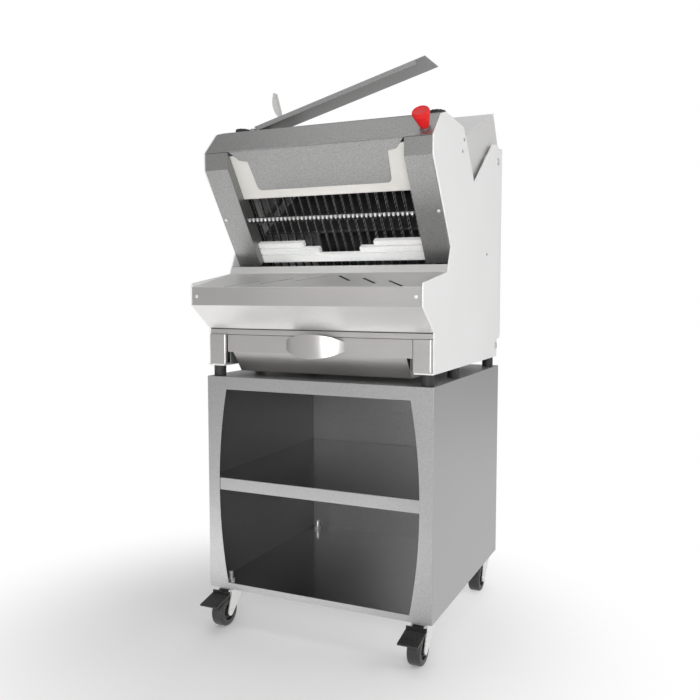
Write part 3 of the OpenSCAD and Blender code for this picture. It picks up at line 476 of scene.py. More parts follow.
FINISHES: tuple[Finish, ...] = (
    Coat("cabinet_paint", (0.39, 0.39, 0.39), 0.4, 1500.0, 0.1, 0.16, 0.85, 0.0, 0.8),
    Coat("cabinet_inner", (0.68, 0.68, 0.68), 0.15, 1500.0, 0.06, 0.03, 1.0, 0.0, 0.3),
    Coat("white_paint", (0.88, 0.875, 0.855), 0.38, 1200.0, 0.03, 0.06, 0.0, 0.12),
    Coat("grey_paint", (0.3, 0.3, 0.297), 0.42, 1300.0, 0.16, 0.2, 0.8, 0.0, 1.3),
    Brushed("stainless", (0.5, 0.488, 0.478), 0.35, Axis.X, 0.14, 0.95),
    Brushed("polished_steel", (0.72, 0.72, 0.72), 0.2, Axis.X, 0.08),
    Brushed("zinc", (0.71, 0.705, 0.695), 0.4, Axis.X, 0.1, 0.6),
    Coat("base_paint", (0.17, 0.17, 0.17), 0.5, 1000.0, 0.12, 0.2, 0.5, 0.0, 0.5),
    Moulded("black_rubber", (0.018, 0.018, 0.018), 0.6, 500.0, 0.1, 0.2),
    Moulded("wheel_black", (0.022, 0.022, 0.022), 0.5, 500.0, 0.12, 0.2),
    Moulded("black_plastic", (0.02, 0.02, 0.021), 0.42, 800.0, 0.08, 0.2),
    Moulded("white_plastic", (0.98, 0.98, 0.97), 0.36, 700.0, 0.0, 0.04),
    Moulded("ivory_plastic", (0.68, 0.668, 0.63), 0.4, 700.0, 0.0, 0.05, 0.1),
    Moulded("red_plastic", (0.72, 0.012, 0.014), 0.42, 500.0, 0.0, 0.04, 0.0, 0.25),
    Brushed("blade_steel", (0.3, 0.293, 0.28), 0.34, Axis.X, 0.2),
    Cast("frame_iron", (0.05, 0.052, 0.055), 0.55),
    Coat("motor_paint", (0.1, 0.16, 0.24), 0.45, 900.0, 0.1, 0.2),
    # Dark colour for the pusher's aluminium: painted shade in the loading chute.
    Brushed("pusher_alu", (0.12, 0.12, 0.122), 0.4, Axis.Z, 0.12),
)


class Palette:
    """All materials of the machine, by slot."""

    def __init__(self) -> None:
        """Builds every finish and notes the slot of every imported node."""
        self.materials = {finish.slot: finish.make() for finish in FINISHES}
        self.slots = {part["node"]: part["material_slot"] for part in frame["record"]["subparts"]}

    def coat(self, piece: Piece, slot: str) -> None:
        """Gives a piece the material of a slot."""
        piece.data.materials.clear()
        piece.data.materials.append(self.materials[slot])

    def coat_nodes(self) -> None:
        """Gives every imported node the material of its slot."""
        for name, node in frame["nodes"].items():
            self.coat(node, self.slots[name])


# Modelling by operators


class Bench:
    """Work bench: operators that start, shape and finish pieces."""

    def __init__(self, palette: Palette) -> None:
        """Keeps the palette that finished pieces are coated from."""
        self.palette = palette

    @staticmethod
    def clear_selection() -> None:
        """Leaves nothing selected, in object mode."""
        if bpy.context.object and bpy.context.object.mode != "OBJECT":
            bpy.ops.object.mode_set(mode="OBJECT")
        bpy.ops.object.select_all(action="DESELECT")

    @staticmethod
    def focus(piece: Piece) -> None:
        """Selects one piece alone and makes it the active one.

        Args:
            piece: The piece.
        """
        Bench.clear_selection()
        piece.select_set(True)
        bpy.context.view_layer.objects.active = piece

    @staticmethod
    def edit(piece: Piece) -> None:
        """Opens one piece in edit mode with all of it selected.

        Args:
            piece: The piece.
        """
        Bench.focus(piece)
        bpy.ops.object.mode_set(mode="EDIT")
        bpy.ops.mesh.select_all(action="SELECT")

    @staticmethod
    def apply(piece: Piece, kind: str, **settings: Any) -> None:
        """Adds a modifier to a piece and applies it.

        Args:
            piece: The piece.
            kind: Type of the modifier.
            settings: Properties of the modifier.
        """
        Bench.focus(piece)
        modifier = piece.modifiers.new(kind.title(), kind)
        for key, value in settings.items():
            setattr(modifier, key, value)
        bpy.ops.object.modifier_apply(modifier=modifier.name)

    def start_disc(self, name: str, sides: int, radius: float, height: float) -> Piece:
        """Starts a piece as a flat disc that is open in edit mode.

        Args:
            name: Name of the piece.
            sides: Corners of the disc.
            radius: Radius of the disc.
            height: Level of the disc.

        Returns:
            The piece, with the disc selected.
        """
        self.clear_selection()
        bpy.ops.mesh.primitive_circle_add(
            vertices=sides, radius=radius, fill_type="NGON", location=(0.0, 0.0, height)
        )
        piece = bpy.context.object
        piece.name = name
        bpy.ops.object.transform_apply(location=True, rotation=True, scale=True)
        self.edit(piece)
        return piece

    def turn(self, name: str, rings: Sequence[Flat], sides: int, seat: Matrix) -> Piece:
        """Turned piece: a disc that is extruded and scaled ring by ring.

        Args:
            name: Name of the piece.
            rings: Height and radius of each ring, from the foot to the top.
            sides: Corners of each ring.
            seat: Where the foot stands and where the axis points.

        Returns:
            The closed piece.
        """
        piece = self.start_disc(name, sides, rings[0][1], rings[0][0])
        for (low, wide), (high, slim) in zip(rings, rings[1:]):
            bpy.ops.mesh.extrude_region_move(TRANSFORM_OT_translate={"value": (0.0, 0.0, high - low)})
            ratio = slim / wide
            bpy.ops.transform.resize(value=(ratio, ratio, 1.0), center_override=(0.0, 0.0, high))
        self.close_up()
        self.place(piece, seat)
        return piece

    @staticmethod
    def close_up() -> None:
        """Turns all faces of the piece in edit mode outwards and leaves edit mode."""
        bpy.ops.mesh.select_all(action="SELECT")
        bpy.ops.mesh.normals_make_consistent(inside=False)
        bpy.ops.object.mode_set(mode="OBJECT")

    @staticmethod
    def place(piece: Piece, seat: Matrix) -> None:
        """Moves a piece to its seat and puts its place into its mesh.

        Args:
            piece: The piece, modelled at the origin.
            seat: Where its foot stands and where its axis points.
        """
        Bench.focus(piece)
        piece.matrix_world = seat
        bpy.ops.object.transform_apply(location=True, rotation=True, scale=True)

    @staticmethod
    def pick(piece: Piece, test: Callable[[Vector, Vector], bool]) -> None:
        """Selects faces by their middle and normal, in edit mode.

        Args:
            piece: The piece, open in edit mode.
            test: Says of a face's middle and normal whether it is wanted.
        """
        bpy.ops.mesh.select_mode(type="FACE")
        bpy.ops.mesh.select_all(action="DESELECT")
        bpy.ops.object.mode_set(mode="OBJECT")
        for face in piece.data.polygons:
            face.select = test(face.center, face.normal)
        bpy.ops.object.mode_set(mode="EDIT")

    def repeat(self, model: Piece, name: str, seats: Sequence[Matrix]) -> Piece:
        """Copies a model to every seat and joins the copies to one piece.

        Args:
            model: Piece at the origin, removed afterwards.
            name: Name of the joined piece.
            seats: Where each copy goes.

        Returns:
            The joined piece.
        """
        copies = []
        for seat in seats:
            copy = bpy.data.objects.new(name, model.data.copy())
            bpy.context.scene.collection.objects.link(copy)
            self.place(copy, seat)
            copies.append(copy)
        bpy.data.objects.remove(model)
        self.clear_selection()
        for copy in copies:
            copy.select_set(True)
        bpy.context.view_layer.objects.active = copies[0]
        bpy.ops.object.join()
        return copies[0]

    def copy_node(self, node: str, name: str) -> Piece:
        """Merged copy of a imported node, as a start for a better piece.

        Args:
            node: Name of the node.
            name: Name of the copy.

        Returns:
            The copy.
        """
        skin = bpy.data.objects.new(name, frame["nodes"][node].data.copy())
        bpy.context.scene.collection.objects.link(skin)
        self.edit(skin)
        bpy.ops.mesh.remove_doubles(threshold=MERGE_DISTANCE)
        bpy.ops.mesh.dissolve_limited(angle_limit=FLAT_ANGLE)
        bpy.ops.object.mode_set(mode="OBJECT")
        return skin

    def soften(self, node: str, width: float, slot: Slot | None = None) -> None:
        """Makes a round-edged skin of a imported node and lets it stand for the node.

        Args:
            node: Name of the node.
            width: Width of the rounded edges.
            slot: Material slot, where it isn't the node's own.
        """
        skin = self.copy_node(node, f"{node}_skin")
        self.apply(
            skin,
            "BEVEL",
            width=width,
            segments=ROUND_FACETS,
            limit_method="ANGLE",
            angle_limit=ROUND_ANGLE,
        )
        self.edit(skin)
        bpy.ops.mesh.dissolve_degenerate(threshold=MERGE_DISTANCE)
        bpy.ops.object.mode_set(mode="OBJECT")
        own = self.palette.slots[node]
        self.finish(skin, body_of(frame["nodes"][node])[0], slot.value if slot else own)
        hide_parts(node)

    def part_node(
        self,
        node: str,
        plane: Plane,
        front: tuple[str, Slot],
        back: tuple[str, Slot],
        width: float,
    ) -> None:
        """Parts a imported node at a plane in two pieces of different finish.

        Args:
            node: Name of the node.
            plane: A point of the plane, and the normal that points to the back piece.
            front: Name and slot of the piece before the plane.
            back: Name and slot of the piece behind it.
            width: Width of the rounded edges.
        """
        body = body_of(frame["nodes"][node])[0]
        for piece, (name, slot) in zip(self.cut(self.copy_node(node, node), plane), (front, back)):
            piece.name = name
            if width:
                self.apply(piece, "BEVEL", width=width, segments=1, limit_method="ANGLE")
            self.finish(piece, body, slot.value)
            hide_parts(node)

    def cut(self, piece: Piece, plane: Plane, apart: bool = False) -> tuple[Piece, Piece]:
        """Cuts a piece in two closed pieces.

        Args:
            piece: The piece, removed afterwards.
            plane: A point of the plane, and its normal.
            apart: Whether the plane meets separate bars, so that each hole is closed by itself.

        Returns:
            The piece before the plane and the piece behind it.
        """
        halves = []
        for before in (True, False):
            half = bpy.data.objects.new(piece.name, piece.data.copy())
            bpy.context.scene.collection.objects.link(half)
            self.edit(half)
            bpy.ops.mesh.bisect(
                plane_co=plane[0],
                plane_no=plane[1],
                use_fill=not apart,
                clear_outer=before,
                clear_inner=not before,
            )
            if apart:
                bpy.ops.mesh.select_all(action="SELECT")
                bpy.ops.mesh.fill_holes(sides=0)
            bpy.ops.object.mode_set(mode="OBJECT")
            halves.append(half)
        bpy.data.objects.remove(piece)
        return halves[0], halves[1]

    def finish(self, piece: Piece, body: str, slot: str, angle: float = 40.0) -> None:
        """Smooths, coats and seats a piece.

        Args:
            piece: The piece.
            body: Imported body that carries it.
            slot: Material slot of its finish.
            angle: Edges sharper than this stay crisp, in degrees.
        """
        self.focus(piece)
        bpy.ops.object.shade_smooth_by_angle(angle=math.radians(angle))
        self.apply(piece, "WEIGHTED_NORMAL", keep_sharp=True, weight=NORMAL_WEIGHT)
        self.palette.coat(piece, slot)
        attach(piece, body)
        log.info("%s rides on %s", piece.name, body)


def seat_at(place: Sequence[float], axis: Sequence[float]) -> Matrix:
    """Seat at a place, with its Z axis along a direction.

    Args:
        place: Where the seat is.
        axis: Direction of its Z axis.

    Returns:
        The seat.
    """
    turn = Vector(axis).normalized().to_track_quat("Z", "Y").to_matrix().to_4x4()
    return Matrix.Translation(Vector(place)) @ turn


def form_rings(form: Sequence[Flat], radius: float) -> list[Flat]:
    """Rings of a turned piece from heights and shares of its radius."""
    return [(height, share * radius) for height, share in form]


def middle(node: str) -> Vector:
    """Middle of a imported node's box."""
    low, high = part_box(node)
    return (low + high) / 2


def first_along(piece: Piece, axis: Vector) -> float:
    """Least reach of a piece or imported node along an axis."""
    return min(vertex.co.dot(axis) for vertex in piece.data.vertices)


# Sub-assemblies


def edged(**widths: float) -> Any:
    """Field of widths of rounded edges, by node."""
    return field(default_factory=lambda: dict(widths))


@dataclass
class SubAssembly:
    """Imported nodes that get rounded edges, by node and width of the rounding."""

    edges: Widths = edged()

    def build(self, bench: Bench) -> None:
        """Rounds the listed nodes, then adds the modelled pieces.

        Args:
            bench: Bench that makes the pieces.
        """
        for node, width in self.edges.items():
            bench.soften(node, width)
        self.dress(bench)

    def dress(self, bench: Bench) -> None:
        """Adds modelled pieces; most sub-assemblies have some."""


@dataclass
class Trolley(SubAssembly):
    """Open-fronted cabinet under the slicer."""

    edges: Widths = edged(cabinet_front_frame=0.0006)
    sheet_edge: float = 0.0005
    fold_edge: float = 0.0009
    fold_depth: float = 0.0018
    skin_depth: float = 0.0008
    skin_edge: float = 0.0003
    rivet_r: float = 0.004
    rivet_inset: float = 0.018
    rivets_up: int = 5
    rivet_sides: int = 20
    rivet_form: tuple[Flat, ...] = (
        (-0.0004, 1.0), (0.0003, 1.0), (0.001, 0.85), (0.0014, 0.5), (0.0011, 0.4),
        (0.0011, 0.05),
    )

    def dress(self, bench: Bench) -> None:
        """Painted sheets with their inner halves in dark paint as painted shade, a shelf with a
        painted front fold, and the rivets.

        Args:
            bench: Bench that makes the pieces.
        """
        bench.soften("cabinet_back", self.sheet_edge, slot=Slot.CABINET)
        for side, out in (("left", -1.0), ("right", 1.0)):
            node = f"cabinet_{side}_side"
            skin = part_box(node)[0 if out < 0 else 1].x - out * self.skin_depth
            plane = ((skin, 0.0, 0.0), (-out, 0.0, 0.0))
            outer = (f"{side}_side_outside", Slot.CABINET)
            # The inner half of each side sheet is in dark base paint: painted shade of the cabinet's
            # inside.
            inner = (f"{side}_side_inside", Slot.DARK)
            bench.part_node(node, plane, outer, inner, self.skin_edge)
        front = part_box("cabinet_shelf")[0].y + self.fold_depth
        plane = ((0.0, front, 0.0), (0.0, 1.0, 0.0))
        fold, plate = ("shelf_fold", Slot.CABINET), ("shelf_plate", Slot.INNER)
        bench.part_node("cabinet_shelf", plane, fold, plate, self.fold_edge)
        self.add_rivets(bench)

    def add_rivets(self, bench: Bench) -> None:
        """Pop rivets along both upright edges of the back sheet.

        Args:
            bench: Bench that makes the pieces.
        """
        rings = form_rings(self.rivet_form, self.rivet_r)
        model = bench.turn("rivet", rings, self.rivet_sides, Matrix.Identity(4))
        low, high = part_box("cabinet_back")
        seats = []
        for x in (low.x + self.rivet_inset, high.x - self.rivet_inset):
            for k in range(self.rivets_up):
                z = low.z + (high.z - low.z) * (k + 0.5) / self.rivets_up
                seats.append(seat_at((x, high.y, z), (0.0, 1.0, 0.0)))
        piece = bench.repeat(model, "cabinet_back_rivets", seats)
        bench.finish(piece, "machine", Slot.ZINC.value)


@dataclass
class Casters(SubAssembly):
    """Swivel casters; the front pair has brake pedals."""

    corners: tuple[str, ...] = ("fl", "fr", "rl", "rr")
    braked: tuple[str, ...] = ("fl", "fr")
    stem_edge: float = 0.0006
    fork_edge: float = 0.001
    pedal_edge: float = 0.0012
    nut_r: float = 0.0075
    nut_lift: float = 0.0025
    nut_sides: int = 24
    nut_form: tuple[Flat, ...] = (
        (-0.0004, 1.0), (0.0003, 1.0), (0.0012, 0.9), (0.0019, 0.62), (0.0022, 0.3),
        (0.0023, 0.05),
    )

    def build(self, bench: Bench) -> None:
        """Rounds stems, forks and pedals and adds the axle nuts.

        Args:
            bench: Bench that makes the pieces.
        """
        bench.soften("caster_stems", self.stem_edge)
        for corner in self.corners:
            bench.soften(f"caster_fork_{corner}", self.fork_edge)
            self.add_nuts(bench, corner)
        for corner in self.braked:
            bench.soften(f"brake_pedal_{corner}", self.pedal_edge)

    def add_nuts(self, bench: Bench, corner: str) -> None:
        """Domed nuts on both ends of one axle, inside the fork's width.

        Args:
            bench: Bench that makes the pieces.
            corner: Corner of the machine that the caster stands under.
        """
        low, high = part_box(f"caster_fork_{corner}")
        hub = middle(f"caster_wheel_{corner}")
        rings = form_rings(self.nut_form, self.nut_r)
        model = bench.turn("nut", rings, self.nut_sides, Matrix.Identity(4))
        seats = [
            seat_at((low.x + self.nut_lift, hub.y, hub.z), (-1.0, 0.0, 0.0)),
            seat_at((high.x - self.nut_lift, hub.y, hub.z), (1.0, 0.0, 0.0)),
        ]
        piece = bench.repeat(model, f"axle_nuts_{corner}", seats)
        bench.finish(piece, f"fork_{corner}", Slot.ZINC.value)


@dataclass
class SlicerBase(SubAssembly):
    """Feet, rails and stainless front posts under the slicer."""

    edges: Widths = edged(base_front_posts=0.0012, base_frame=0.001, rubber_feet=0.0015)


@dataclass
class BodyShell(SubAssembly):
    """White side panels, rear cover and their fasteners."""

    edges: Widths = edged(left_side_panel=0.0012, right_side_panel=0.0012, rear_cover=0.003)
    lock_size: float = 0.012
    shade_sheet: float = 0.0004
    cover_depth: float = 0.004
    inner_facing: float = 0.9
    side_facing: float = 0.7
    cap_facing: float = 0.1
    front_facing: float = 0.5
    front_lean: float = 0.2
    lock_sides: int = 40
    lock_rings: tuple[Flat, ...] = (
        (0.0, 0.0095), (0.0014, 0.0095), (0.002, 0.0088), (0.002, 0.0072), (0.0013, 0.0068),
        (0.0013, 0.001),
    )
    key_bar: Point = (0.0022, 0.0128, 0.001)
    key_level: float = 0.0014
    key_edge: float = 0.0003
    screw_sides: int = 24
    screw_rings: tuple[Flat, ...] = (
        (0.0, 0.004), (0.0005, 0.004), (0.0009, 0.0034), (0.001, 0.0022), (0.0004, 0.002),
        (0.0004, 0.0003),
    )

    def dress(self, bench: Bench) -> None:
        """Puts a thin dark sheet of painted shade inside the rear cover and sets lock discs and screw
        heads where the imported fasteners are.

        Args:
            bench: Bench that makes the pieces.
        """
        self.shade_cover_inside(bench)
        heads: dict[str, list[Matrix]] = {"side_locks": [], "panel_bolts": [], "shell_screws": []}
        for seat, size in self.find_fasteners(bench):
            sideways = abs(seat.col[2].x) > self.side_facing
            screw = "panel_bolts" if sideways else "shell_screws"
            heads["side_locks" if size > self.lock_size else screw].append(seat)
        kinds = (
            ("side_locks", self.model_lock, Slot.STEEL),
            ("panel_bolts", self.model_screw, Slot.GREY),
            ("shell_screws", self.model_screw, Slot.ZINC),
        )
        for name, model, slot in kinds:
            piece = bench.repeat(model(bench), name, heads[name])
            bench.finish(piece, "machine", slot.value)
            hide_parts("panel_fasteners")

    def shade_cover_inside(self, bench: Bench) -> None:
        """Lays a thin dark sheet on the inner face of the rear cover, as painted shade inside the
        body.

        Args:
            bench: Bench that makes the pieces.
        """
        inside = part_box("rear_cover")[1].y - self.cover_depth
        # Painted shade: a dark iron sheet over the inner face of the cover.
        shade_sheet = bench.copy_node("rear_cover", "rear_cover_lining")
        bench.edit(shade_sheet)
        outer = -self.inner_facing
        bench.pick(shade_sheet, lambda mid, normal: normal.y > outer or mid.y < inside)
        bpy.ops.mesh.delete(type="FACE")
        bpy.ops.object.mode_set(mode="OBJECT")
        bench.apply(shade_sheet, "SOLIDIFY", thickness=self.shade_sheet, offset=1.0)
        bench.finish(shade_sheet, "machine", Slot.IRON.value)

    def find_fasteners(self, bench: Bench) -> list[tuple[Matrix, float]]:
        """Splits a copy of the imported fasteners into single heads.

        Args:
            bench: Bench that makes the copy.

        Returns:
            Seat and size of every head.
        """
        source = bench.copy_node("panel_fasteners", "fastener")
        bench.edit(source)
        bpy.ops.mesh.separate(type="LOOSE")
        bpy.ops.object.mode_set(mode="OBJECT")
        heads = [piece for piece in bpy.data.objects if piece.name.startswith("fastener")]
        found = []
        for head in heads:
            points = [Vector(vertex.co) for vertex in head.data.vertices]
            mid = sum(points, Vector()) / len(points)
            outward = Vector((math.copysign(1.0, mid.x), -self.front_lean, 0.0))
            caps = [
                face
                for face in head.data.polygons
                if face.normal.dot(outward) > self.cap_facing or face.normal.y < -self.front_facing
            ]
            cap = max(caps, key=lambda face: face.area)
            axis = Vector(cap.normal)
            depth = [point.dot(axis) for point in points]
            foot = mid + axis * (min(depth) - mid.dot(axis))
            size = max((point - mid).length for point in points) * 2
            found.append((seat_at(foot, axis), size))
            bpy.data.objects.remove(head)
        return found

    def model_lock(self, bench: Bench) -> Piece:
        """Lock disc with a rim, a sunk face and a raised key bar.

        Args:
            bench: Bench that makes the pieces.

        Returns:
            The disc with its bar, at the origin.
        """
        disc = bench.turn("lock_disc", self.lock_rings, self.lock_sides, Matrix.Identity(4))
        bench.clear_selection()
        bpy.ops.mesh.primitive_cube_add(size=1.0, location=(0.0, 0.0, self.key_level))
        bar = bpy.context.object
        bar.scale = self.key_bar
        bpy.ops.object.transform_apply(location=True, rotation=True, scale=True)
        bench.apply(bar, "BEVEL", width=self.key_edge, segments=ROUND_FACETS)
        bench.focus(disc)
        bar.select_set(True)
        bpy.ops.object.join()
        return disc

    def model_screw(self, bench: Bench) -> Piece:
        """Low pan head with a round socket."""
        return bench.turn("screw", self.screw_rings, self.screw_sides, Matrix.Identity(4))


@dataclass
class OutletTable(SubAssembly):
    """Folded outlet table with lip, undercut and crumb slots."""

    lip_top: float = 0.8662
    lip_low: float = 0.8234
    under_low: float = 0.7652
    under_slant: float = 36.99
    skin_depth: float = 0.0006
    fold_edge: float = 0.0007
    shadow_line_h: float = 0.0022
    top_facing: float = 0.5

    def dress(self, bench: Bench) -> None:
        """Parts the folded sheet: table top and undercut in lighter zinc as painted light, slot
        walls, undercut inside and a strip at the foot of the undercut in dark iron as painted shade.

        Args:
            bench: Bench that makes the pieces.
        """
        up = (0.0, 0.0, 1.0)
        sheet = bench.copy_node("slicing_table", "sheet")
        rest, top = bench.cut(sheet, ((0.0, 0.0, self.lip_top), up))
        rest, lip = bench.cut(rest, ((0.0, 0.0, self.lip_low), up))
        foot, under = bench.cut(rest, ((0.0, 0.0, self.under_low), up))
        slant = math.radians(self.under_slant)
        inward = Vector((0.0, math.sin(slant), math.cos(slant)))
        # Strip at the foot of the undercut in dark iron: a painted shadow line between undercut and
        # drawer.
        foot, shadow_line = bench.cut(foot, ((0.0, 0.0, self.under_low - self.shadow_line_h), up))
        upper = [face for face in top.data.polygons if face.normal.z > self.top_facing]
        flat = max(upper, key=lambda face: face.area)
        normal = Vector(flat.normal)
        # Below a thin top skin the sheet goes dark iron: painted shade in the slots and under the
        # table.
        walls, top = bench.cut(top, (Vector(flat.center) - normal * self.skin_depth, normal))
        skin = inward * (first_along(under, inward) + self.skin_depth)
        # Behind a thin skin the undercut's inside goes dark iron: painted shade.
        under, undercut_shade = bench.cut(under, (skin, inward))
        # Table top and undercut in zinc, lighter than the stainless lip and foot: painted light on
        # one folded sheet.
        for piece, name, slot in (
            (top, "table_top", Slot.ZINC),
            (walls, "table_underside", Slot.IRON),
            (lip, "table_lip", Slot.STEEL),
            (under, "table_undercut", Slot.ZINC),
            (undercut_shade, "undercut_inside", Slot.IRON),
            (shadow_line, "table_joint", Slot.IRON),
            (foot, "table_foot", Slot.STEEL),
        ):
            piece.name = name
            bench.apply(piece, "BEVEL", width=self.fold_edge, segments=1, limit_method="ANGLE")
            bench.finish(piece, "machine", slot.value)
            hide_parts("slicing_table")


@dataclass
class CrumbDrawer(SubAssembly):
    """Crumb tray with its front and bulged pull."""

    edges: Widths = edged(crumb_drawer=0.0005, drawer_pull=0.0006)


@dataclass
class BladeBay(SubAssembly):
    """Leaning posts, fascia, tongue, guard, slats and the guide comb."""

    edges: Widths = edged(
        front_posts=0.002,
        front_fascia=0.0008,
        tongue_panel=0.0008,
        guard_panel=0.0008,
        outlet_slats=0.0006,
        blade_frame_a=0.001,
        blade_frame_b=0.001,
    )
    lean: float = 33.7
    foot: Flat = (-0.129, 0.924)
    comb_back: float = 0.009
    tip_l: float = 0.0065
    cutting_l: float = 0.0024

    def dress(self, bench: Bench) -> None:
        """Parts the comb in bright zinc teeth and dark iron tips and bar, the dark parts painted
        shade, and gives the blades bright edges with dark iron behind them as painted shade of the
        bay.

        Args:
            bench: Bench that makes the pieces.
        """
        lean = math.radians(self.lean)
        back = Vector((0.0, math.cos(lean), math.sin(lean)))
        up = Vector((0.0, -math.sin(lean), math.cos(lean)))
        place = Vector((0.0, *self.foot)) + back * self.comb_back
        comb = bench.copy_node("blade_guide_comb", "comb")
        # Bar and tooth tips in dark iron are painted shade; the comb is one sheet with bright teeth.
        teeth, bar = bench.cut(comb, (place, back), apart=True)
        tip = up * (first_along(teeth, up) + self.tip_l)
        tips, teeth = bench.cut(teeth, (tip, up), apart=True)
        for piece, name, slot in (
            (teeth, "comb_teeth", Slot.ZINC),
            (tips, "comb_tips", Slot.IRON),
            (bar, "comb_bar", Slot.IRON),
        ):
            piece.name = name
            bench.finish(piece, "machine", slot.value)
            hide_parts("blade_guide_comb")
        # Behind the cutting edges the blades are dark iron: painted shade of the bay.
        for node in ("blades_a", "blades_b"):
            place = back * (first_along(frame["nodes"][node], back) + self.cutting_l)
            edges, painted_shade_backs = (f"{node}_edges", Slot.BLADE), (f"{node}_backs", Slot.IRON)
            bench.part_node(node, (place, back), edges, painted_shade_backs, 0.0)


@dataclass
class BreadPath(SubAssembly):
    """Loading hood, its lid, the bed and the pusher."""

    edges: Widths = edged(pusher=0.0006)
    lid_edge: float = 0.0007
    hood_edge: float = 0.0009
    bed_edge: float = 0.0008

    def dress(self, bench: Bench) -> None:
        """Bright hood with a white lid over a bed in dark iron, which is painted shade under the
        hood.

        Args:
            bench: Bench that makes the pieces.
        """
        bench.soften("hood_lid", self.lid_edge, slot=Slot.SHELL)
        bench.soften("loading_hood", self.hood_edge, slot=Slot.ZINC)
        # Bed in dark iron: painted shade under the hood.
        bench.soften("bread_bed", self.bed_edge, slot=Slot.IRON)


@dataclass
class Drive(SubAssembly):
    """Crank, rods, belt and motor inside the base."""

    edges: Widths = edged(crank_bearings=0.0015, connecting_rod_a=0.001, connecting_rod_b=0.001)


@dataclass
class TopDeck(SubAssembly):
    """Top cover, raised flap with its grip, and the bumpers."""

    edges: Widths = edged(top_cover=0.0008, rubber_bumpers=0.0012)
    flap_edge: float = 0.0008
    flap_open: float = 15.0
    grip_edge: float = 0.0008
    grip_foot: float = 0.0032
    grip_w: float = 0.018

    def dress(self, bench: Bench) -> None:
        """Flap in the lighter paint, with a bright half-moon grip on its foot plate.

        Args:
            bench: Bench that makes the pieces.
        """
        bench.soften("top_flap", self.flap_edge, slot=Slot.CABINET)
        rise = math.radians(self.flap_open)
        up = Vector((-math.sin(rise), 0.0, math.cos(rise)))
        grip = bench.copy_node("flap_grip", "grip")
        foot, moon = bench.cut(grip, (up * (first_along(grip, up) + self.grip_foot), up))
        side = (0.0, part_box("flap_grip")[0].y + self.grip_w, 0.0)
        moon, rest = bench.cut(moon, (side, (0.0, 1.0, 0.0)))
        bpy.data.objects.remove(rest)
        bench.edit(moon)
        bpy.ops.mesh.convex_hull(use_existing_faces=False, join_triangles=True)
        bench.close_up()
        for piece, name in ((moon, "grip_moon"), (foot, "grip_foot")):
            piece.name = name
            bench.apply(
                piece, "BEVEL", width=self.grip_edge, segments=ROUND_FACETS, limit_method="ANGLE"
            )
            bench.finish(piece, "flap", Slot.ZINC.value)
            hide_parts("flap_grip")


@dataclass
class StopButton(SubAssembly):
    """Emergency stop with a flared, dished head."""

    slope: float = 46.08
    collar_h: float = 0.002
    sides: int = 64
    crisp: float = 50.0
    rings: tuple[Flat, ...] = (
        (0.0002, 0.0096), (0.0082, 0.0097), (0.0087, 0.0126), (0.0150, 0.0141),
        (0.0220, 0.0163), (0.0290, 0.0184), (0.0335, 0.0196), (0.0360, 0.0199),
        (0.0390, 0.0198), (0.0412, 0.0190), (0.0424, 0.0178), (0.0426, 0.0162),
        (0.0418, 0.0142), (0.0414, 0.0110), (0.0412, 0.0010),
    )

    def dress(self, bench: Bench) -> None:
        """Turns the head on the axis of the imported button.

        Args:
            bench: Bench that makes the pieces.
        """
        slope = math.radians(self.slope)
        axis = Vector((0.0, -math.sin(slope), math.cos(slope)))
        foot = middle("stop_collar") - axis * (self.collar_h / 2)
        head = bench.turn("stop_head_turned", self.rings, self.sides, seat_at(foot, axis))
        bench.finish(head, "stop_head", Slot.RED.value, self.crisp)
        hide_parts("stop_button")


# Studio


@dataclass
class Lamp:
    """One soft box."""

    name: str
    place: Point
    aim: Point
    size: Flat
    power: float
    spread: float = 180.0
    mirrored: bool = True

    def build(self) -> None:
        """Hangs the lamp and turns it to its aim."""
        data = bpy.data.lights.new(self.name, "AREA")
        data.shape = "RECTANGLE"
        data.size, data.size_y = self.size
        data.energy = self.power
        data.spread = math.radians(self.spread)
        lamp = bpy.data.objects.new(self.name, data)
        lamp.visible_camera = False
        lamp.visible_glossy = self.mirrored
        lamp.location = self.place
        away = Vector(self.aim) - Vector(self.place)
        lamp.rotation_euler = away.to_track_quat("-Z", "Y").to_euler()
        bpy.context.scene.collection.objects.link(lamp)


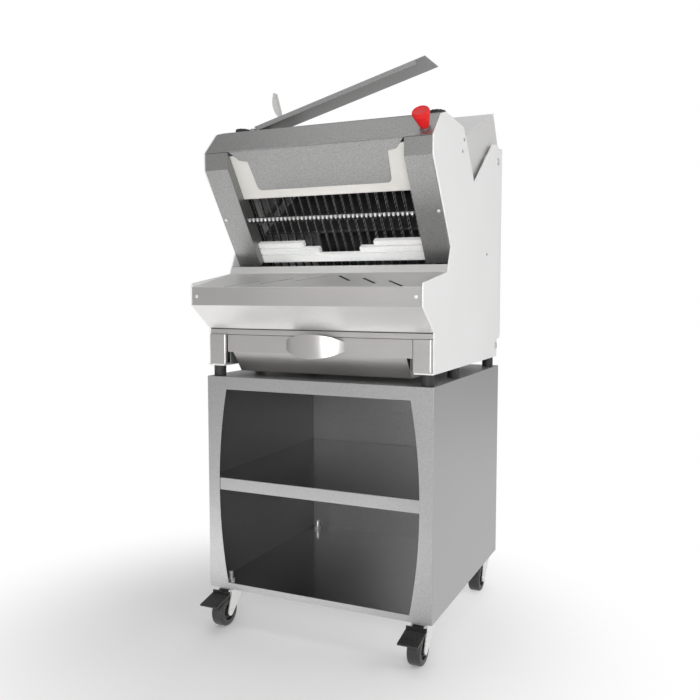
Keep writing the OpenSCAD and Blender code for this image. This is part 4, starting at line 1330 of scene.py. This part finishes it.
@dataclass
class Studio:
    """Floor, light and camera."""

    eye: Point = (0.85004, -1.92518, 0.85895)
    yaw: float = 24.559
    pitch: float = 4.329
    lens: float = 40.44
    sensor: float = 36.0
    far: float = 60.0
    floor_size: float = 24.0
    floor_grey: float = 0.93
    shade_edge: float = 0.65
    shade_soft: float = 0.7
    shade_seen: float = 0.8
    shade_spread: float = 0.1
    dim_edge: float = 4.0
    dim_soft: float = 4.0
    sky_edge: float = 0.45
    sky_soft: float = 0.7
    ambient: float = 0.4
    horizon: float = 0.6
    zenith: float = 0.32
    far_floor: float = 0.6
    shadow: Point = (-0.12, -0.25, 0.0)
    lamps: list[Lamp] = field(
        default_factory=lambda: [
            Lamp("key", (1.1, -3.0, 1.1), (0.0, 0.0, 0.8), (1.6, 1.6), 46.0),
            Lamp("fill", (3.2, 0.2, 1.9), (0.0, 0.0, 0.8), (2.2, 2.2), 38.0),
            Lamp("top", (-0.3, 0.0, 3.6), (0.0, 0.0, 0.6), (2.4, 2.4), 16.0),
            Lamp("low", (-0.5, -0.75, 0.02), (-0.5, -0.75, 1.0), (1.1, 0.5), 2.5),
            Lamp("back", (-0.5, 2.6, 0.35), (0.0, 0.1, 1.3), (1.2, 0.6), 26.0, mirrored=False),
            Lamp("outlet", (0.6, -2.4, 0.9), (0.0, -0.16, 0.955), (0.3, 0.15), 0.2, 14.0),
        ]
    )

    def build(self) -> None:
        """Sets up the whole studio."""
        self.build_camera()
        self.build_floor()
        self.build_world()
        for lamp in self.lamps:
            lamp.build()
        bpy.context.scene.view_settings.view_transform = "Standard"

    def build_camera(self) -> None:
        """Camera at the photographed viewpoint."""
        data = bpy.data.cameras.new("camera")
        data.lens = self.lens
        data.sensor_width = self.sensor
        data.sensor_fit = "HORIZONTAL"
        data.clip_end = self.far
        camera = bpy.data.objects.new("camera", data)
        camera.location = self.eye
        camera.rotation_euler = (math.radians(90.0 - self.pitch), 0.0, math.radians(self.yaw))
        bpy.context.scene.collection.objects.link(camera)
        bpy.context.scene.camera = camera

    def build_floor(self) -> None:
        """Pale floor that fades to white away from the machine."""
        Bench.clear_selection()
        bpy.ops.mesh.primitive_plane_add(size=self.floor_size, location=(0.0, 0.0, 0.0))
        floor = bpy.context.object
        floor.name = "floor"
        material = bpy.data.materials.new("floor")
        graph = Graph(material)
        where = graph.place()
        ends = {0: where, 1: self.shadow}
        reach = graph.add("ShaderNodeVectorMath", {"operation": "DISTANCE"}, ends, "Value")
        eye = graph.add("ShaderNodeLightPath", output="Is Camera Ray")
        near = 1.0 - reach.over(self.shade_edge, self.shade_soft)
        away = 1.0 - near * (self.shade_spread + eye * self.shade_seen)
        diffuse = graph.add("ShaderNodeBsdfDiffuse", None, {"Color": rgba((self.floor_grey,) * 3)})
        dim = reach.over(self.dim_edge, self.dim_soft) * (1.0 - self.far_floor) * (1.0 - eye)
        white = {"Color": (1.0, 1.0, 1.0, 1.0), "Strength": 1.0 - dim}
        glow = graph.add("ShaderNodeEmission", None, white)
        seen = self.seen(graph)
        graph.close(graph.add("ShaderNodeMixShader", None, {0: away * seen, 1: diffuse, 2: glow}))
        floor.data.materials.append(material)

    @staticmethod
    def seen(graph: Graph) -> Port:
        """Tells rays of the eye and of mirrors from light that spreads.

        Args:
            graph: Node tree of the floor.

        Returns:
            1 for rays of the eye and of mirrors, 0 for others.
        """
        eye = graph.add("ShaderNodeLightPath", output="Is Camera Ray")
        gloss = graph.add("ShaderNodeLightPath", output="Is Glossy Ray")
        clear = graph.add("ShaderNodeLightPath", output="Is Transmission Ray")
        return graph.add("ShaderNodeMath", {"operation": "MINIMUM"}, {0: eye + gloss + clear, 1: 1.0})

    def build_world(self) -> None:
        """White behind the machine, dimmer overhead for reflections and softer as light."""
        world = bpy.data.worlds.new("studio")
        bpy.context.scene.world = world
        graph = Graph(world, "ShaderNodeOutputWorld")
        direction = graph.add("ShaderNodeTexCoord", output="Generated")
        up = graph.add("ShaderNodeSeparateXYZ", None, {0: direction}, "Z")
        sky = self.horizon - up.over(self.sky_edge, self.sky_soft) * (self.horizon - self.zenith)
        eye = graph.add("ShaderNodeLightPath", output="Is Camera Ray")
        gloss = graph.add("ShaderNodeLightPath", output="Is Glossy Ray")
        unseen = gloss * (sky - self.ambient) + self.ambient
        strength = unseen + eye * (1.0 - unseen)
        white = {"Color": (1.0, 1.0, 1.0, 1.0), "Strength": strength}
        graph.close(graph.add("ShaderNodeBackground", None, white))


def main() -> None:
    """Builds the studio and dresses the machine."""
    logging.basicConfig(level=logging.INFO, format="%(name)s: %(message)s")
    Studio().build()
    palette = Palette()
    palette.coat_nodes()
    bench = Bench(palette)
    parts: tuple[SubAssembly, ...] = (
        Trolley(),
        Casters(),
        SlicerBase(),
        BodyShell(),
        OutletTable(),
        CrumbDrawer(),
        BladeBay(),
        BreadPath(),
        Drive(),
        TopDeck(),
        StopButton(),
    )
    for part in parts:
        part.build(bench)
        log.info("%s done", type(part).__name__)


if __name__ == "__main__":
    main()
